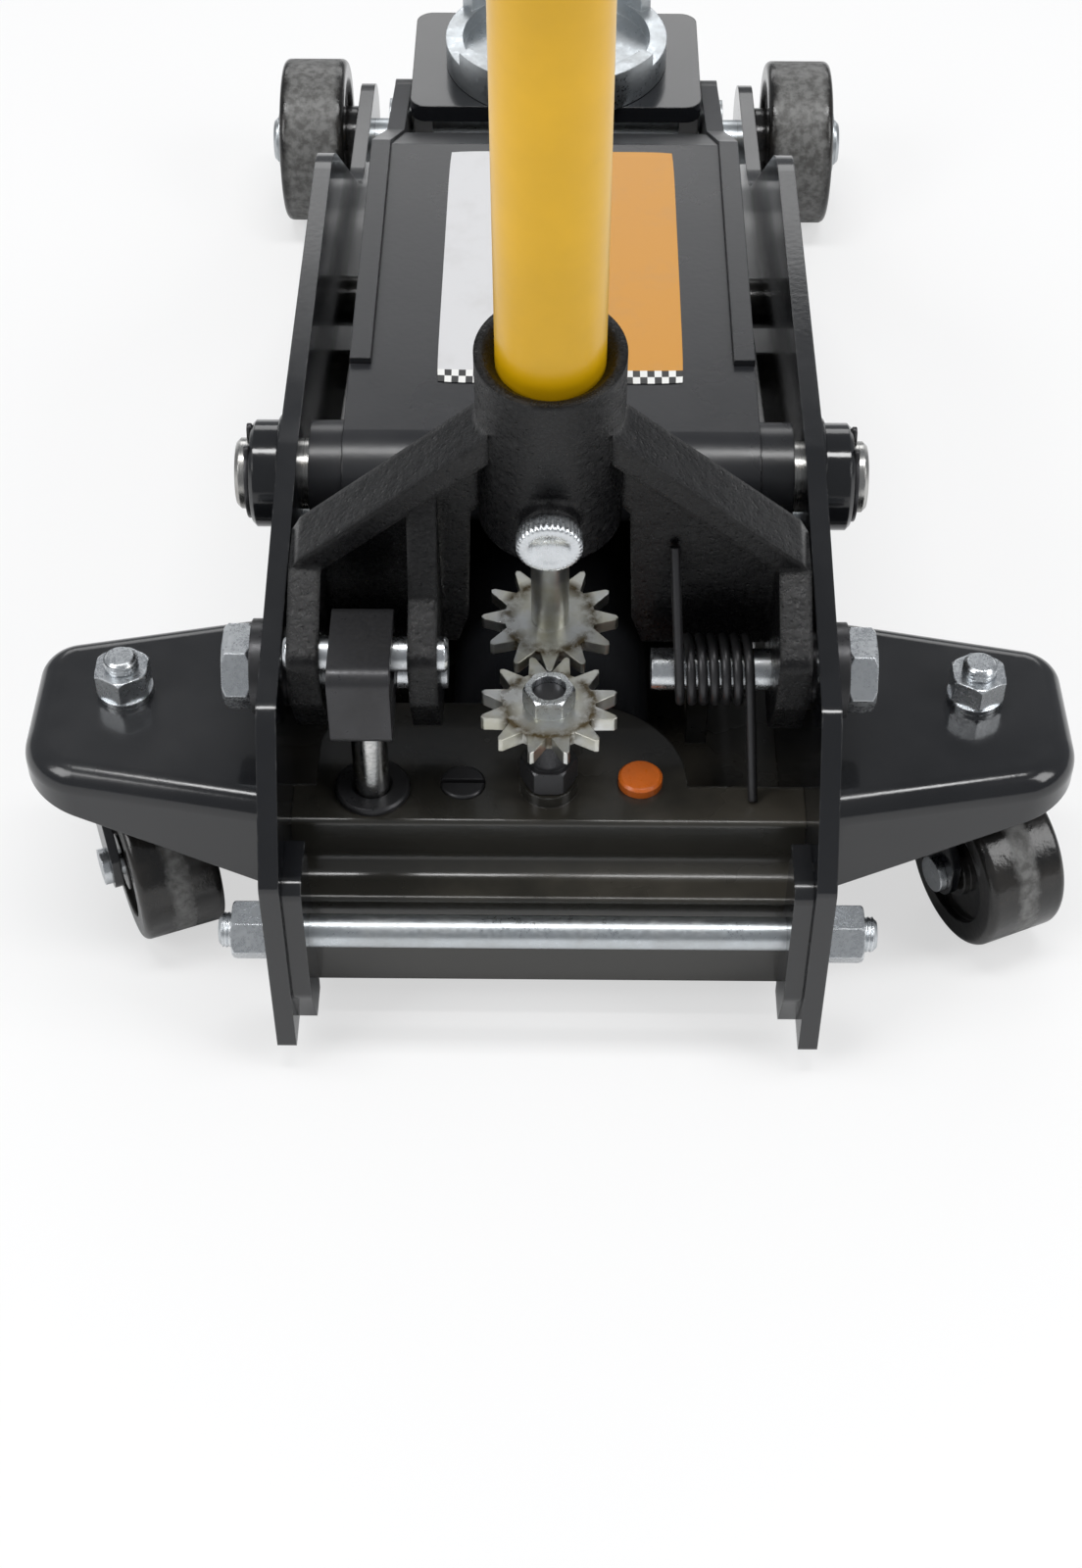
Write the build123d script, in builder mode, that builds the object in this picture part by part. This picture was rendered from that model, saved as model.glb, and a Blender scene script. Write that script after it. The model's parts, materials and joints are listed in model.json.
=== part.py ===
from build123d import *
import math
import os

"""Hydraulic trolley jack: +X to the right seen from the handle, +Y to the front, +Z up.
The origin is on the floor under the middle of the bounding box. Millimetres."""

os.makedirs("parts", exist_ok=True)

# ---- driving dimensions -------------------------------------------------------------
plate_gap = 184.0             # clear width between the side plates
plate_thickness = 7.0
tail_clearance = 12.0         # floor to the lower edge of the side plates
plate_height = 159.6          # lower edge to the flat top edge
tail_height = 88.0            # lower edge to the top of the tail
running_clearance = 0.1       # radial, every shaft in its hole

handle_lean = 8.5             # degrees to the rear at rest
handle_tilt_range = 55.0      # degrees further back
handle_reach = 1100.0         # pivot to the end of the handle
handle_diameter = 35.5
handle_wall = 2.0
grip_wall = 2.7
handle_joint_height = 560.0
socket_diameter = 49.0
socket_foot = 62.0            # pivot to the underside of the socket's floor
socket_top = 136.8

gear_module = 3.5
gear_teeth = 12
gear_thickness = 5.5
gear_backlash = 1.6
gear_hub_diameter = 13.5

pivot_from_tail = 80.3
pivot_height = 117.2          # above the plates' lower edge
pivot_bolt_diameter = 15.0
pivot_shoulder_diameter = 18.0
plunger_diameter = 13.0
plunger_x = -63.5
plunger_from_pivot = 22.3
plunger_pin_rise = 27.8
plunger_pin_diameter = 12.0

shaft_from_tail = 169.0
shaft_height = 132.0
shaft_diameter = 26.5
arm_length = 340.0
arm_droop = 9.5               # degrees below level at rest
arm_rise = 70.0               # degrees of travel
lug_radius = 70.0
lug_pin_diameter = 14.0
leveling_offset_y = 16.0
leveling_offset_z = -38.0
leveling_pin_diameter = 12.0

axle_from_tail = 560.0
front_wheel_radius = 40.0
front_wheel_width = 32.0
front_axle_diameter = 22.0

wing_height = 83.0            # top of the outriggers above the plates' lower edge
wing_thickness = 4.0
wing_span = 93.0              # side plate to the tip
stud_from_plate = 58.5
stud_from_tail = 102.0
stud_diameter = 12.0
caster_radius = 31.5
caster_width = 32.0
caster_trail = 24.5
caster_turn = {"left": 22.0, "right": 24.0}
caster_axle_diameter = 10.0

tie_rod_diameter = 12.0
tie_rod_from_tail = 17.0
tie_rod_height = 47.0

# ---- places worked out from them ----------------------------------------------------
lean_sin = math.sin(math.radians(handle_lean))
lean_cos = math.cos(math.radians(handle_lean))
pitch_radius = gear_module * gear_teeth / 2
grip_radius = handle_diameter / 2 + grip_wall
cap_chamfer = 3.0
rear_reach = (
    pivot_from_tail
    + pitch_radius * lean_cos
    - (handle_reach - cap_chamfer) * lean_sin
    - grip_radius * lean_cos
)
tail_y = -(rear_reach + axle_from_tail + front_wheel_radius) / 2

inner_x = plate_gap / 2
outer_x = inner_x + plate_thickness
base_z = tail_clearance
pivot_y = tail_y + pivot_from_tail
pivot_z = base_z + pivot_height
valve_y = pivot_y - pitch_radius
plunger_y = pivot_y - plunger_from_pivot
shaft_y = tail_y + shaft_from_tail
shaft_z = base_z + shaft_height
saddle_y = shaft_y + arm_length * math.cos(math.radians(arm_droop))
saddle_z = shaft_z - arm_length * math.sin(math.radians(arm_droop))
axle_y = tail_y + axle_from_tail
axle_z = front_wheel_radius
wing_z = base_z + wing_height
wing_reach = outer_x + wing_span
stud_x = outer_x + stud_from_plate
stud_y = tail_y + stud_from_tail
rod_y = tail_y + tie_rod_from_tail
rod_z = base_z + tie_rod_height

socket_frame = Plane(origin=(0, pivot_y, pivot_z), x_dir=(1, 0, 0), z_dir=(0, -lean_sin, lean_cos))
sides = {"left": -1, "right": 1}


def side(x):
    """Plane facing +X at x, with Y and Z as its two axes."""
    return Plane(origin=(x, 0, 0), x_dir=(0, 1, 0), z_dir=(1, 0, 0))


def socket_side(x):
    """Plane facing +X at x, with the socket's forward and upward directions as its axes."""
    return Plane(origin=(x, pivot_y, pivot_z), x_dir=(0, lean_cos, lean_sin), z_dir=(1, 0, 0))


def socket_back(v):
    """Plane facing the rear at the distance v in front of the pivot, square to the socket."""
    return Plane(
        origin=(0, pivot_y + v * lean_cos, pivot_z + v * lean_sin),
        x_dir=(1, 0, 0),
        z_dir=(0, -lean_cos, -lean_sin),
    )


def slab(sign, near, far, sketch_plane=side):
    """Plane of the low face, and the thickness, of a slab from |X| near to far."""
    low = near if sign > 0 else -far
    return sketch_plane(low), far - near


def keep(piece, name):
    """Label a finished piece and write it."""
    piece.part.label = name
    export_step(piece.part, f"parts/{name}.step")


def hex_prism(plane, across_flats, thickness):
    """Nut or bolt head blank with its corners chamfered, standing on plane."""
    with BuildPart() as prism:
        with BuildSketch(plane):
            Circle(across_flats / math.sqrt(3))
        extrude(amount=thickness)
        chamfer(prism.edges().filter_by(GeomType.CIRCLE), length=across_flats * 0.055)
        with BuildSketch(plane):
            RegularPolygon(across_flats / 2, 6, major_radius=False)
        extrude(amount=thickness, mode=Mode.INTERSECT)
    return prism.part


# ---- side plates --------------------------------------------------------------------
crest_rear = 152.0
crest_front = 345.0
shoulder_y = 36.0
shoulder_z = 138.6
nose_radius = axle_z - base_z
nose_height = axle_z + nose_radius
leveling_y = shaft_y + leveling_offset_y
leveling_z = shaft_z + leveling_offset_z

plate_outline = [
    (tail_y, base_z),
    (tail_y, base_z + tail_height),
    (tail_y + shoulder_y, base_z + shoulder_z),
    (tail_y + crest_rear, base_z + plate_height),
    (tail_y + crest_front, base_z + plate_height),
    (axle_y - 95, nose_height + 6),
    (axle_y, nose_height),
    (axle_y, base_z),
]
plate_holes = [
    (shaft_y, shaft_z, shaft_diameter),
    (pivot_y, pivot_z, pivot_shoulder_diameter),
    (rod_y, rod_z, tie_rod_diameter),
    (axle_y, axle_z, front_axle_diameter),
    (leveling_y, leveling_z, leveling_pin_diameter),
]

for name, sign in sides.items():
    plane, depth = slab(sign, inner_x, outer_x)
    with BuildPart() as plate:
        with BuildSketch(plane):
            with BuildLine():
                FilletPolyline(*plate_outline, radius=[2, 5, 10, 14, 40, 60, 0, 0], close=True)
            make_face()
            with Locations((axle_y, axle_z)):
                Circle(nose_radius)
            for y, z, diameter in plate_holes:
                with Locations((y, z)):
                    Circle(diameter / 2 + running_clearance, mode=Mode.SUBTRACT)
        extrude(amount=depth)
    keep(plate, f"side_plate_{name}")

doubler_thickness = 7.0
block_rear = 26.0
doubler_outline = [
    (tail_y + 12, base_z + 3),
    (tail_y + 3, base_z + 26),
    (tail_y + 3, base_z + tail_height - 3),
    (tail_y + block_rear, base_z + tail_height - 3),
    (tail_y + block_rear, base_z + 3),
]
with BuildPart() as doublers:
    for sign in sides.values():
        plane, depth = slab(sign, inner_x - doubler_thickness, inner_x)
        with BuildSketch(plane):
            with BuildLine():
                FilletPolyline(*doubler_outline, radius=[3, 8, 6, 0, 0], close=True)
            make_face()
            with Locations((rod_y, rod_z)):
                Circle(tie_rod_diameter / 2 + running_clearance, mode=Mode.SUBTRACT)
        extrude(amount=depth)
keep(doublers, "tail_doublers")

# ---- outriggers ---------------------------------------------------------------------
wing_root_rear = 43.6
wing_root_front = 149.0
wing_tip_rear = 61.4
wing_tip_front = 129.0
skirt_root = 44.0
skirt_tip = 15.0
wing_bend = 9.0


def wing_blank(sign, inset):
    """Upper shell of an outrigger, drawn in by inset on its free sides and its top."""
    root = outer_x - inset
    outline = [
        (sign * root, tail_y + wing_root_rear + inset),
        (sign * (wing_reach + 1 - inset), tail_y + wing_tip_rear + inset),
        (sign * (wing_reach - inset), tail_y + wing_tip_front - inset),
        (sign * root, tail_y + wing_root_front - inset),
    ]
    with BuildPart() as blank:
        with BuildSketch(Plane.XY.offset(wing_z - inset)):
            with BuildLine():
                FilletPolyline(*outline, radius=[0, 24 - inset, 16 - inset, 0], close=True)
            make_face()
        extrude(amount=-skirt_root)
        top = blank.faces().sort_by(Axis.Z)[-1]
        rim = [e for e in top.edges() if abs(abs(e.center().X) - root) > 0.5]
        fillet(rim, radius=wing_bend - inset)
    return blank.part


for name, sign in sides.items():
    with BuildPart() as wing:
        add(wing_blank(sign, 0))
        add(wing_blank(sign, wing_thickness), mode=Mode.SUBTRACT)
        with BuildSketch(Plane.XZ.offset(-tail_y - wing_root_front - 10)):
            Polygon(
                (sign * (outer_x - 1), wing_z - skirt_root - 1),
                (sign * outer_x, wing_z - skirt_root),
                (sign * wing_reach, wing_z - skirt_tip),
                (sign * (wing_reach + 20), wing_z - skirt_tip),
                (sign * (wing_reach + 20), wing_z - skirt_root - 1),
            )
        extrude(amount=wing_root_front - wing_root_rear + 20, mode=Mode.SUBTRACT)
        with BuildSketch(Plane.XY.offset(wing_z)):
            with Locations((sign * stud_x, stud_y)):
                Circle(stud_diameter / 2 + running_clearance)
        extrude(amount=-2 * wing_thickness, mode=Mode.SUBTRACT)
    keep(wing, f"outrigger_{name}")

# ---- rear tie rod, cross tube, front axle -------------------------------------------
nut_thickness = 10.3
nut_flats = 19.0
rod_nut_thickness = 13.5
rod_proud = 5.0
rod_end = outer_x + rod_nut_thickness + rod_proud

with BuildPart() as tie_rod:
    with BuildSketch(side(-rod_end)):
        with Locations((rod_y, rod_z)):
            Circle(tie_rod_diameter / 2)
    extrude(amount=2 * rod_end)
    chamfer(tie_rod.edges(), length=1.2)
keep(tie_rod, "rear_tie_rod")

with BuildPart() as tie_nuts:
    for sign in sides.values():
        plane, depth = slab(sign, outer_x, outer_x + rod_nut_thickness)
        add(hex_prism(Plane((plane.origin.X, rod_y, rod_z), (0, 1, 0), (1, 0, 0)), nut_flats, depth))
    with BuildSketch(side(-rod_end)):
        with Locations((rod_y, rod_z)):
            Circle(tie_rod_diameter / 2 + running_clearance)
    extrude(amount=2 * rod_end, mode=Mode.SUBTRACT)
keep(tie_nuts, "tie_rod_nuts")

cross_tube_y = axle_y - 130
cross_tube_z = base_z + 22
belly_rear = 70.0
belly_thickness = 3.0
with BuildPart() as cross_members:
    with BuildSketch(side(-inner_x)):
        with Locations((cross_tube_y, cross_tube_z)):
            Circle(12)
            Circle(9, mode=Mode.SUBTRACT)
    extrude(amount=plate_gap)
    with BuildSketch(Plane.XY.offset(base_z + 0.5)):
        with Locations((0, (tail_y + belly_rear + cross_tube_y - 14) / 2)):
            Rectangle(plate_gap, cross_tube_y - 14 - tail_y - belly_rear)
    extrude(amount=belly_thickness)
keep(cross_members, "cross_members")

wheel_inner = outer_x + 1.5
tread_inner = outer_x + 7
tread_outer = tread_inner + front_wheel_width
axle_end = tread_outer + 6
with BuildPart() as axle:
    with BuildSketch(side(-axle_end)):
        with Locations((axle_y, axle_z)):
            Circle(front_axle_diameter / 2)
    extrude(amount=2 * axle_end)
    chamfer(axle.edges(), length=1.5)
keep(axle, "front_axle")

with BuildPart() as clips:
    for sign in sides.values():
        plane, depth = slab(sign, tread_outer + 1, tread_outer + 3)
        with BuildSketch(plane):
            with Locations((axle_y, axle_z)):
                Circle(front_axle_diameter / 2 + 4.5)
                Circle(front_axle_diameter / 2, mode=Mode.SUBTRACT)
        extrude(amount=depth)
keep(clips, "axle_clips")

for name, sign in sides.items():
    with BuildPart() as wheel:
        with BuildSketch(Plane.XY.offset(axle_z)):
            with BuildLine():
                FilletPolyline(
                    (sign * wheel_inner, axle_y + front_axle_diameter / 2 + running_clearance),
                    (sign * wheel_inner, axle_y + 17),
                    (sign * (tread_inner + 3), axle_y + 17),
                    (sign * (tread_inner + 3), axle_y + 29),
                    (sign * tread_inner, axle_y + 31),
                    (sign * tread_inner, axle_y + front_wheel_radius),
                    (sign * tread_outer, axle_y + front_wheel_radius),
                    (sign * tread_outer, axle_y + 31),
                    (sign * (tread_outer - 3), axle_y + 29),
                    (sign * (tread_outer - 3), axle_y + 17),
                    (sign * tread_outer, axle_y + 17),
                    (sign * tread_outer, axle_y + front_axle_diameter / 2 + running_clearance),
                    radius=[0, 1, 2, 1, 1, 3, 3, 1, 1, 2, 1, 0],
                    close=True,
                )
            make_face()
        revolve(axis=Axis((0, axle_y, axle_z), (1, 0, 0)))
    keep(wheel, f"front_wheel_{name}")

# ---- lift-arm shaft -----------------------------------------------------------------
boss_width = 12.6
boss_diameter = 40.0
ring_width = 2.0
shaft_end = outer_x + boss_width + 6

with BuildPart() as shaft:
    with BuildSketch(side(-shaft_end)):
        with Locations((shaft_y, shaft_z)):
            Circle(shaft_diameter / 2)
    extrude(amount=2 * shaft_end)
    chamfer(shaft.edges(), length=1.5)
keep(shaft, "lift_shaft")

with BuildPart() as bosses:
    for sign in sides.values():
        plane, depth = slab(sign, outer_x, outer_x + boss_width)
        with BuildSketch(plane):
            with Locations((shaft_y, shaft_z)):
                Circle(boss_diameter / 2)
                Circle(shaft_diameter / 2 + running_clearance, mode=Mode.SUBTRACT)
        extrude(amount=depth)
    rims = bosses.edges().filter_by(GeomType.CIRCLE)
    chamfer([rim for rim in rims if abs(rim.radius - boss_diameter / 2) < 0.1], length=1.5)
keep(bosses, "lift_shaft_bosses")

with BuildPart() as rings:
    for sign in sides.values():
        plane, depth = slab(sign, outer_x + boss_width, outer_x + boss_width + ring_width)
        with BuildSketch(plane):
            with Locations((shaft_y, shaft_z)):
                Circle(shaft_diameter / 2 + 3.5)
                Circle(shaft_diameter / 2 + running_clearance, mode=Mode.SUBTRACT)
        extrude(amount=depth)
keep(rings, "lift_shaft_rings")

# ---- pivot bolts of the handle socket -----------------------------------------------
ear_outer = inner_x - 3
ear_inner = ear_outer - 11
lug_outer = 48.0
lug_inner = 38.0
washer_width = 6.0
bolt_head = 10.0
bolt_flats = 27.0
bolt_tip = lug_inner - 2

with BuildPart() as pivot_bolts:
    for sign in sides.values():
        plane, depth = slab(sign, outer_x + washer_width, outer_x + washer_width + bolt_head)
        head_plane = Plane((plane.origin.X, pivot_y, pivot_z), (0, 1, 0), (1, 0, 0))
        add(hex_prism(head_plane, bolt_flats, depth))
        plane, depth = slab(sign, ear_outer + 1, outer_x + washer_width)
        with BuildSketch(plane):
            with Locations((pivot_y, pivot_z)):
                Circle(pivot_shoulder_diameter / 2)
        extrude(amount=depth)
        plane, depth = slab(sign, bolt_tip, ear_outer + 1)
        with BuildSketch(plane):
            with Locations((pivot_y, pivot_z)):
                Circle(pivot_bolt_diameter / 2)
        extrude(amount=depth)
keep(pivot_bolts, "pivot_bolts")

with BuildPart() as washers:
    for sign in sides.values():
        for near, far, radius in (
            (outer_x, outer_x + washer_width, 17.0),
            (ear_outer + 1.2, inner_x, 14.0),
        ):
            plane, depth = slab(sign, near, far)
            with BuildSketch(plane):
                with Locations((pivot_y, pivot_z)):
                    Circle(radius)
                    Circle(pivot_shoulder_diameter / 2 + running_clearance, mode=Mode.SUBTRACT)
            extrude(amount=depth)
keep(washers, "pivot_washers")

# ---- handle socket ------------------------------------------------------------------
socket_bore = handle_diameter / 2 + running_clearance
floor_top = socket_foot + 10
web_rear = 5.0
web_front = 25.0
wall_rear = 17.0
knob_height = 83.5
screw_diameter = 8.0
screw_boss_face = -8.5
pin_v = -plunger_from_pivot * lean_cos + plunger_pin_rise * lean_sin
pin_u = plunger_from_pivot * lean_sin + plunger_pin_rise * lean_cos
flange_root = (20, 113.5)
flange_tip = (ear_outer - 3, 52)
flange_depth = 9.0

ear_outline = [
    (web_front, -3),
    (web_front, 47),
    (web_rear, 49),
    (pin_v - 9, 36),
    (pin_v - 9, 13),
    (-19, -9),
    (-12, -17),
    (10, -18),
]

with BuildPart() as socket:
    with BuildSketch(socket_frame.offset(socket_foot)):
        with Locations((0, pitch_radius)):
            Circle(socket_diameter / 2)
    extrude(amount=socket_top - socket_foot)
    for sign in sides.values():
        with BuildSketch(socket_back(web_front)):
            Polygon(
                (sign * flange_root[0], flange_root[1]),
                (sign * flange_tip[0], flange_tip[1]),
                (sign * ear_outer, flange_tip[1] - 6),
                (sign * ear_outer, flange_tip[1] - 6 - flange_depth),
                (sign * flange_root[0], flange_root[1] - flange_depth - 3),
            )
        extrude(amount=web_front - web_rear)
        with BuildSketch(socket_back(web_front)):
            Polygon(
                (sign * 16, 106),
                (sign * flange_tip[0], 50),
                (sign * ear_outer, 46),
                (sign * ear_outer, -6),
                (sign * 33, -6),
                (sign * 29, 8),
                (sign * 27, socket_foot + 2),
                (sign * 16, socket_foot + 14),
            )
        extrude(amount=web_front - wall_rear)
    for sign, near, far in (
        (-1, ear_inner, ear_outer),
        (1, ear_inner, ear_outer),
        (-1, lug_inner, lug_outer),
    ):
        plane, depth = slab(sign, near, far, socket_side)
        with BuildSketch(plane):
            with BuildLine():
                FilletPolyline(*ear_outline, radius=[2, 2, 3, 5, 5, 4, 4, 4], close=True)
            make_face()
            Circle(18)
        extrude(amount=depth)
    with BuildSketch(socket_side(-lug_outer)):
        Polygon((web_front, 40), (web_front, 84), (14, 84), (-5, 46), (-5, 40))
    extrude(amount=lug_outer - lug_inner)
    with BuildSketch(socket_back(pitch_radius)):
        with Locations((0, knob_height)):
            Circle(screw_diameter + 2)
    extrude(amount=pitch_radius - screw_boss_face)
    with BuildSketch(socket_frame.offset(floor_top)):
        with Locations((0, pitch_radius)):
            Circle(socket_bore)
    extrude(amount=socket_top - floor_top, mode=Mode.SUBTRACT)
    with BuildSketch(socket_frame.offset(socket_top)):
        with Locations((0, pitch_radius)):
            Circle(socket_diameter / 2 - 2.8)
    extrude(amount=-(socket_diameter / 2 - 2.8 - socket_bore), taper=45, mode=Mode.SUBTRACT)
    with BuildSketch(socket_frame.offset(socket_foot)):
        with Locations((0, pitch_radius)):
            Circle(gear_hub_diameter / 2 + running_clearance)
    extrude(amount=floor_top - socket_foot, mode=Mode.SUBTRACT)
    with BuildSketch(socket_back(screw_boss_face)):
        with Locations((0, knob_height)):
            Circle(screw_diameter / 2 + running_clearance)
    extrude(amount=screw_boss_face - pitch_radius, mode=Mode.SUBTRACT)
    with BuildSketch(socket_side(-ear_outer)):
        Circle(pivot_bolt_diameter / 2 + running_clearance)
    extrude(amount=2 * ear_outer, mode=Mode.SUBTRACT)
    with BuildSketch(socket_side(-ear_outer)):
        with Locations((pin_v, pin_u)):
            Circle(plunger_pin_diameter / 2 + running_clearance)
    extrude(amount=ear_outer - lug_inner, mode=Mode.SUBTRACT)
keep(socket, "handle_socket")

with BuildPart() as plunger_pin:
    with BuildSketch(socket_side(-ear_outer - 1.5)):
        with Locations((pin_v, pin_u)):
            Circle(plunger_pin_diameter / 2)
    extrude(amount=ear_outer + 1.5 - lug_inner + 3.5)
    chamfer(plunger_pin.edges(), length=1)
keep(plunger_pin, "plunger_pin")

with BuildPart() as thumb_screw:
    with BuildSketch(socket_back(screw_boss_face - 0.4)):
        with Locations((0, knob_height)):
            Circle(11)
    extrude(amount=7.4)
    chamfer(thumb_screw.edges(), length=0.8)
    with BuildSketch(socket_back(screw_boss_face - 0.4)):
        with Locations((0, knob_height)):
            Circle(screw_diameter / 2)
    extrude(amount=-(pitch_radius - socket_bore - screw_boss_face + 0.2))
keep(thumb_screw, "thumb_screw")

# ---- handle -------------------------------------------------------------------------
tube_foot = floor_top + 0.4
plug_top = tube_foot + 14
handle_bore = handle_diameter / 2 - handle_wall
neck_length = 50.0
button_height = handle_joint_height - neck_length / 2
grip_length = 150.0
cap_thickness = 12.0


def round_bar(piece_low, piece_high, radius, mode=Mode.ADD):
    """Cylinder on the handle's axis between two heights above the pivot."""
    with BuildSketch(socket_frame.offset(piece_low)) as section:
        with Locations((0, pitch_radius)):
            Circle(radius)
    extrude(section.sketch, amount=piece_high - piece_low, mode=mode)


def cross_button(radius, reach, mode):
    """Radial pin across the joint of the two handle tubes, pointing to the front."""
    with BuildSketch(socket_back(pitch_radius)) as section:
        with Locations((0, button_height)):
            Circle(radius)
    extrude(section.sketch, amount=-reach, mode=mode)


with BuildPart() as lower_tube:
    round_bar(tube_foot, handle_joint_height, handle_diameter / 2)
    round_bar(plug_top, handle_joint_height, handle_bore, Mode.SUBTRACT)
    round_bar(tube_foot, plug_top, gear_hub_diameter / 2 + running_clearance, Mode.SUBTRACT)
    cross_button(4.3, handle_diameter, Mode.SUBTRACT)
keep(lower_tube, "handle_lower_tube")

with BuildPart() as upper_tube:
    round_bar(handle_joint_height + 0.3, handle_reach - cap_thickness, handle_diameter / 2)
    round_bar(
        handle_joint_height - neck_length, handle_joint_height + 0.3, handle_bore - running_clearance
    )
    cross_button(4, handle_diameter / 2 + 1.5, Mode.ADD)
    round_bar(
        handle_joint_height - neck_length,
        handle_joint_height + 5,
        handle_bore - running_clearance - handle_wall,
        Mode.SUBTRACT,
    )
    round_bar(handle_joint_height + 5, handle_reach - cap_thickness, handle_bore, Mode.SUBTRACT)
keep(upper_tube, "handle_upper_tube")

with BuildPart() as grip:
    grip_foot = handle_reach - cap_thickness - grip_length
    round_bar(grip_foot, handle_reach - cap_thickness, grip_radius)
    round_bar(grip_foot, handle_reach - cap_thickness, handle_diameter / 2 + 0.05, Mode.SUBTRACT)
keep(grip, "handle_grip")

with BuildPart() as cap:
    round_bar(handle_reach - cap_thickness, handle_reach, grip_radius)
    chamfer(cap.edges().sort_by(Axis.Z)[-1], length=cap_chamfer)
keep(cap, "handle_end_cap")

# ---- gears and release valve --------------------------------------------------------
tip_radius = pitch_radius + gear_module
root_radius = pitch_radius - 1.35 * gear_module
tooth_slope = 0.28
pitch_half = math.pi * gear_module / 4 - gear_backlash / 2
tip_half = pitch_half - gear_module * tooth_slope
root_half = pitch_half + (pitch_radius - root_radius + 1) * tooth_slope


def gear_outline(centre, phase):
    """Toothed outline about centre with a tooth at the angle phase."""
    with Locations(centre):
        Circle(root_radius)
    with Locations(centre):
        with PolarLocations(0, gear_teeth, start_angle=phase):
            Polygon(
                (root_radius - 1, -root_half),
                (tip_radius - 0.8, -tip_half - 0.1),
                (tip_radius, -tip_half + 0.9),
                (tip_radius, tip_half - 0.9),
                (tip_radius - 0.8, tip_half + 0.1),
                (root_radius - 1, root_half),
            )


with BuildPart() as upper_gear:
    with BuildSketch(socket_frame.offset(-gear_thickness / 2)):
        gear_outline((0, pitch_radius), 30)
    extrude(amount=gear_thickness)
    round_bar(gear_thickness / 2, tube_foot + 12, gear_hub_diameter / 2)
keep(upper_gear, "upper_gear")

lower_base = pivot_z - gear_thickness / 2
valve_bore = 11.7
block_top = base_z + 77.7
with BuildPart() as lower_gear:
    with BuildSketch(Plane.XY.offset(lower_base)):
        gear_outline((0, valve_y), 15)
        with Locations((0, valve_y)):
            Circle(valve_bore / 2 + running_clearance, mode=Mode.SUBTRACT)
    extrude(amount=gear_thickness)
keep(lower_gear, "lower_gear")

nut_top = lower_base + gear_thickness + 8
with BuildPart() as gear_nut:
    add(hex_prism(Plane((0, valve_y, lower_base + gear_thickness), (1, 0, 0), (0, 0, 1)), 16, 8))
    with BuildSketch(Plane.XY.offset(lower_base + gear_thickness)):
        with Locations((0, valve_y)):
            Circle(valve_bore / 2 + running_clearance)
    extrude(amount=8, mode=Mode.SUBTRACT)
keep(gear_nut, "gear_nut")

collar_height = 5.0
valve_hex_base = block_top + collar_height + 0.5
valve_hex_height = 10.5
with BuildPart() as valve:
    with BuildSketch(Plane.XY.offset(block_top - 18)):
        with Locations((0, valve_y)):
            Circle(7.5)
    extrude(amount=lower_base - block_top + 18)
    add(hex_prism(Plane((0, valve_y, valve_hex_base), (1, 0, 0), (0, 0, 1)), 18, valve_hex_height))
    with BuildSketch(Plane.XY.offset(lower_base)):
        with Locations((0, valve_y)):
            Circle(valve_bore / 2)
    extrude(amount=nut_top - 3 - lower_base)
keep(valve, "release_valve")

# ---- pump block ---------------------------------------------------------------------
block_foot = 8.0
ledge_height = 54.0
ledge_depth = 16.0
ear_depth = 36.0
block_front = 102.0
boss_left = 8.0 - inner_x
boss_right = 50.0
gland_diameter = 27.0
gland_height = 2.5
plug_places = {"filler_plug": (33.0, 62.0, 8.0, 4.0), "slotted_plugs": (-31.0, 61.0, 8.0, 1.2)}

with BuildPart() as block:
    with BuildSketch(side(-inner_x)):
        with BuildLine():
            FilletPolyline(
                (tail_y + block_rear, base_z + block_foot),
                (tail_y + block_rear, base_z + ledge_height),
                (tail_y + block_rear + ledge_depth, base_z + ledge_height),
                (tail_y + block_rear + ledge_depth, block_top),
                (tail_y + block_rear + ear_depth, block_top),
                (tail_y + block_rear + ear_depth, base_z + block_foot),
                radius=[1, 2, 7, 2, 3, 2],
                close=True,
            )
        make_face()
    extrude(amount=plate_gap)
    with BuildSketch(Plane.XY.offset(base_z + block_foot)):
        with BuildLine():
            FilletPolyline(
                (boss_left, tail_y + block_rear + ear_depth - 8),
                (boss_left, tail_y + block_front),
                (boss_right, tail_y + block_front),
                (boss_right, tail_y + block_rear + ear_depth - 8),
                radius=[0, 24, 40, 0],
                close=True,
            )
        make_face()
    extrude(amount=block_top - base_z - block_foot)
    with BuildSketch(Plane.XY.offset(block_top)):
        with Locations((0, valve_y)):
            Circle(10.3)
    extrude(amount=collar_height)
    with BuildSketch(Plane.XY.offset(block_top + collar_height)):
        with Locations((0, valve_y)):
            Circle(7.5 + running_clearance)
    extrude(amount=-(collar_height + 18.2), mode=Mode.SUBTRACT)
    with BuildSketch(Plane.XY.offset(block_top)):
        with Locations((plunger_x, plunger_y)):
            Circle(gland_diameter / 2)
    extrude(amount=-10, mode=Mode.SUBTRACT)
    with BuildSketch(Plane.XY.offset(block_top)):
        with Locations((plunger_x, plunger_y)):
            Circle(plunger_diameter / 2 + running_clearance)
    extrude(amount=-60, mode=Mode.SUBTRACT)
    for x, y, radius, proud in plug_places.values():
        with BuildSketch(Plane.XY.offset(block_top)):
            with Locations((x, tail_y + y)):
                Circle(radius + 0.05)
        extrude(amount=-6, mode=Mode.SUBTRACT)
keep(block, "pump_block")

with BuildPart() as gland:
    with BuildSketch(Plane.XY.offset(block_top - 10)):
        with Locations((plunger_x, plunger_y)):
            Circle(gland_diameter / 2)
            Circle(plunger_diameter / 2 + running_clearance, mode=Mode.SUBTRACT)
    extrude(amount=10 + gland_height)
    chamfer(gland.edges().sort_by(Axis.Z)[-2:], length=0.8)
keep(gland, "plunger_gland")

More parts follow.
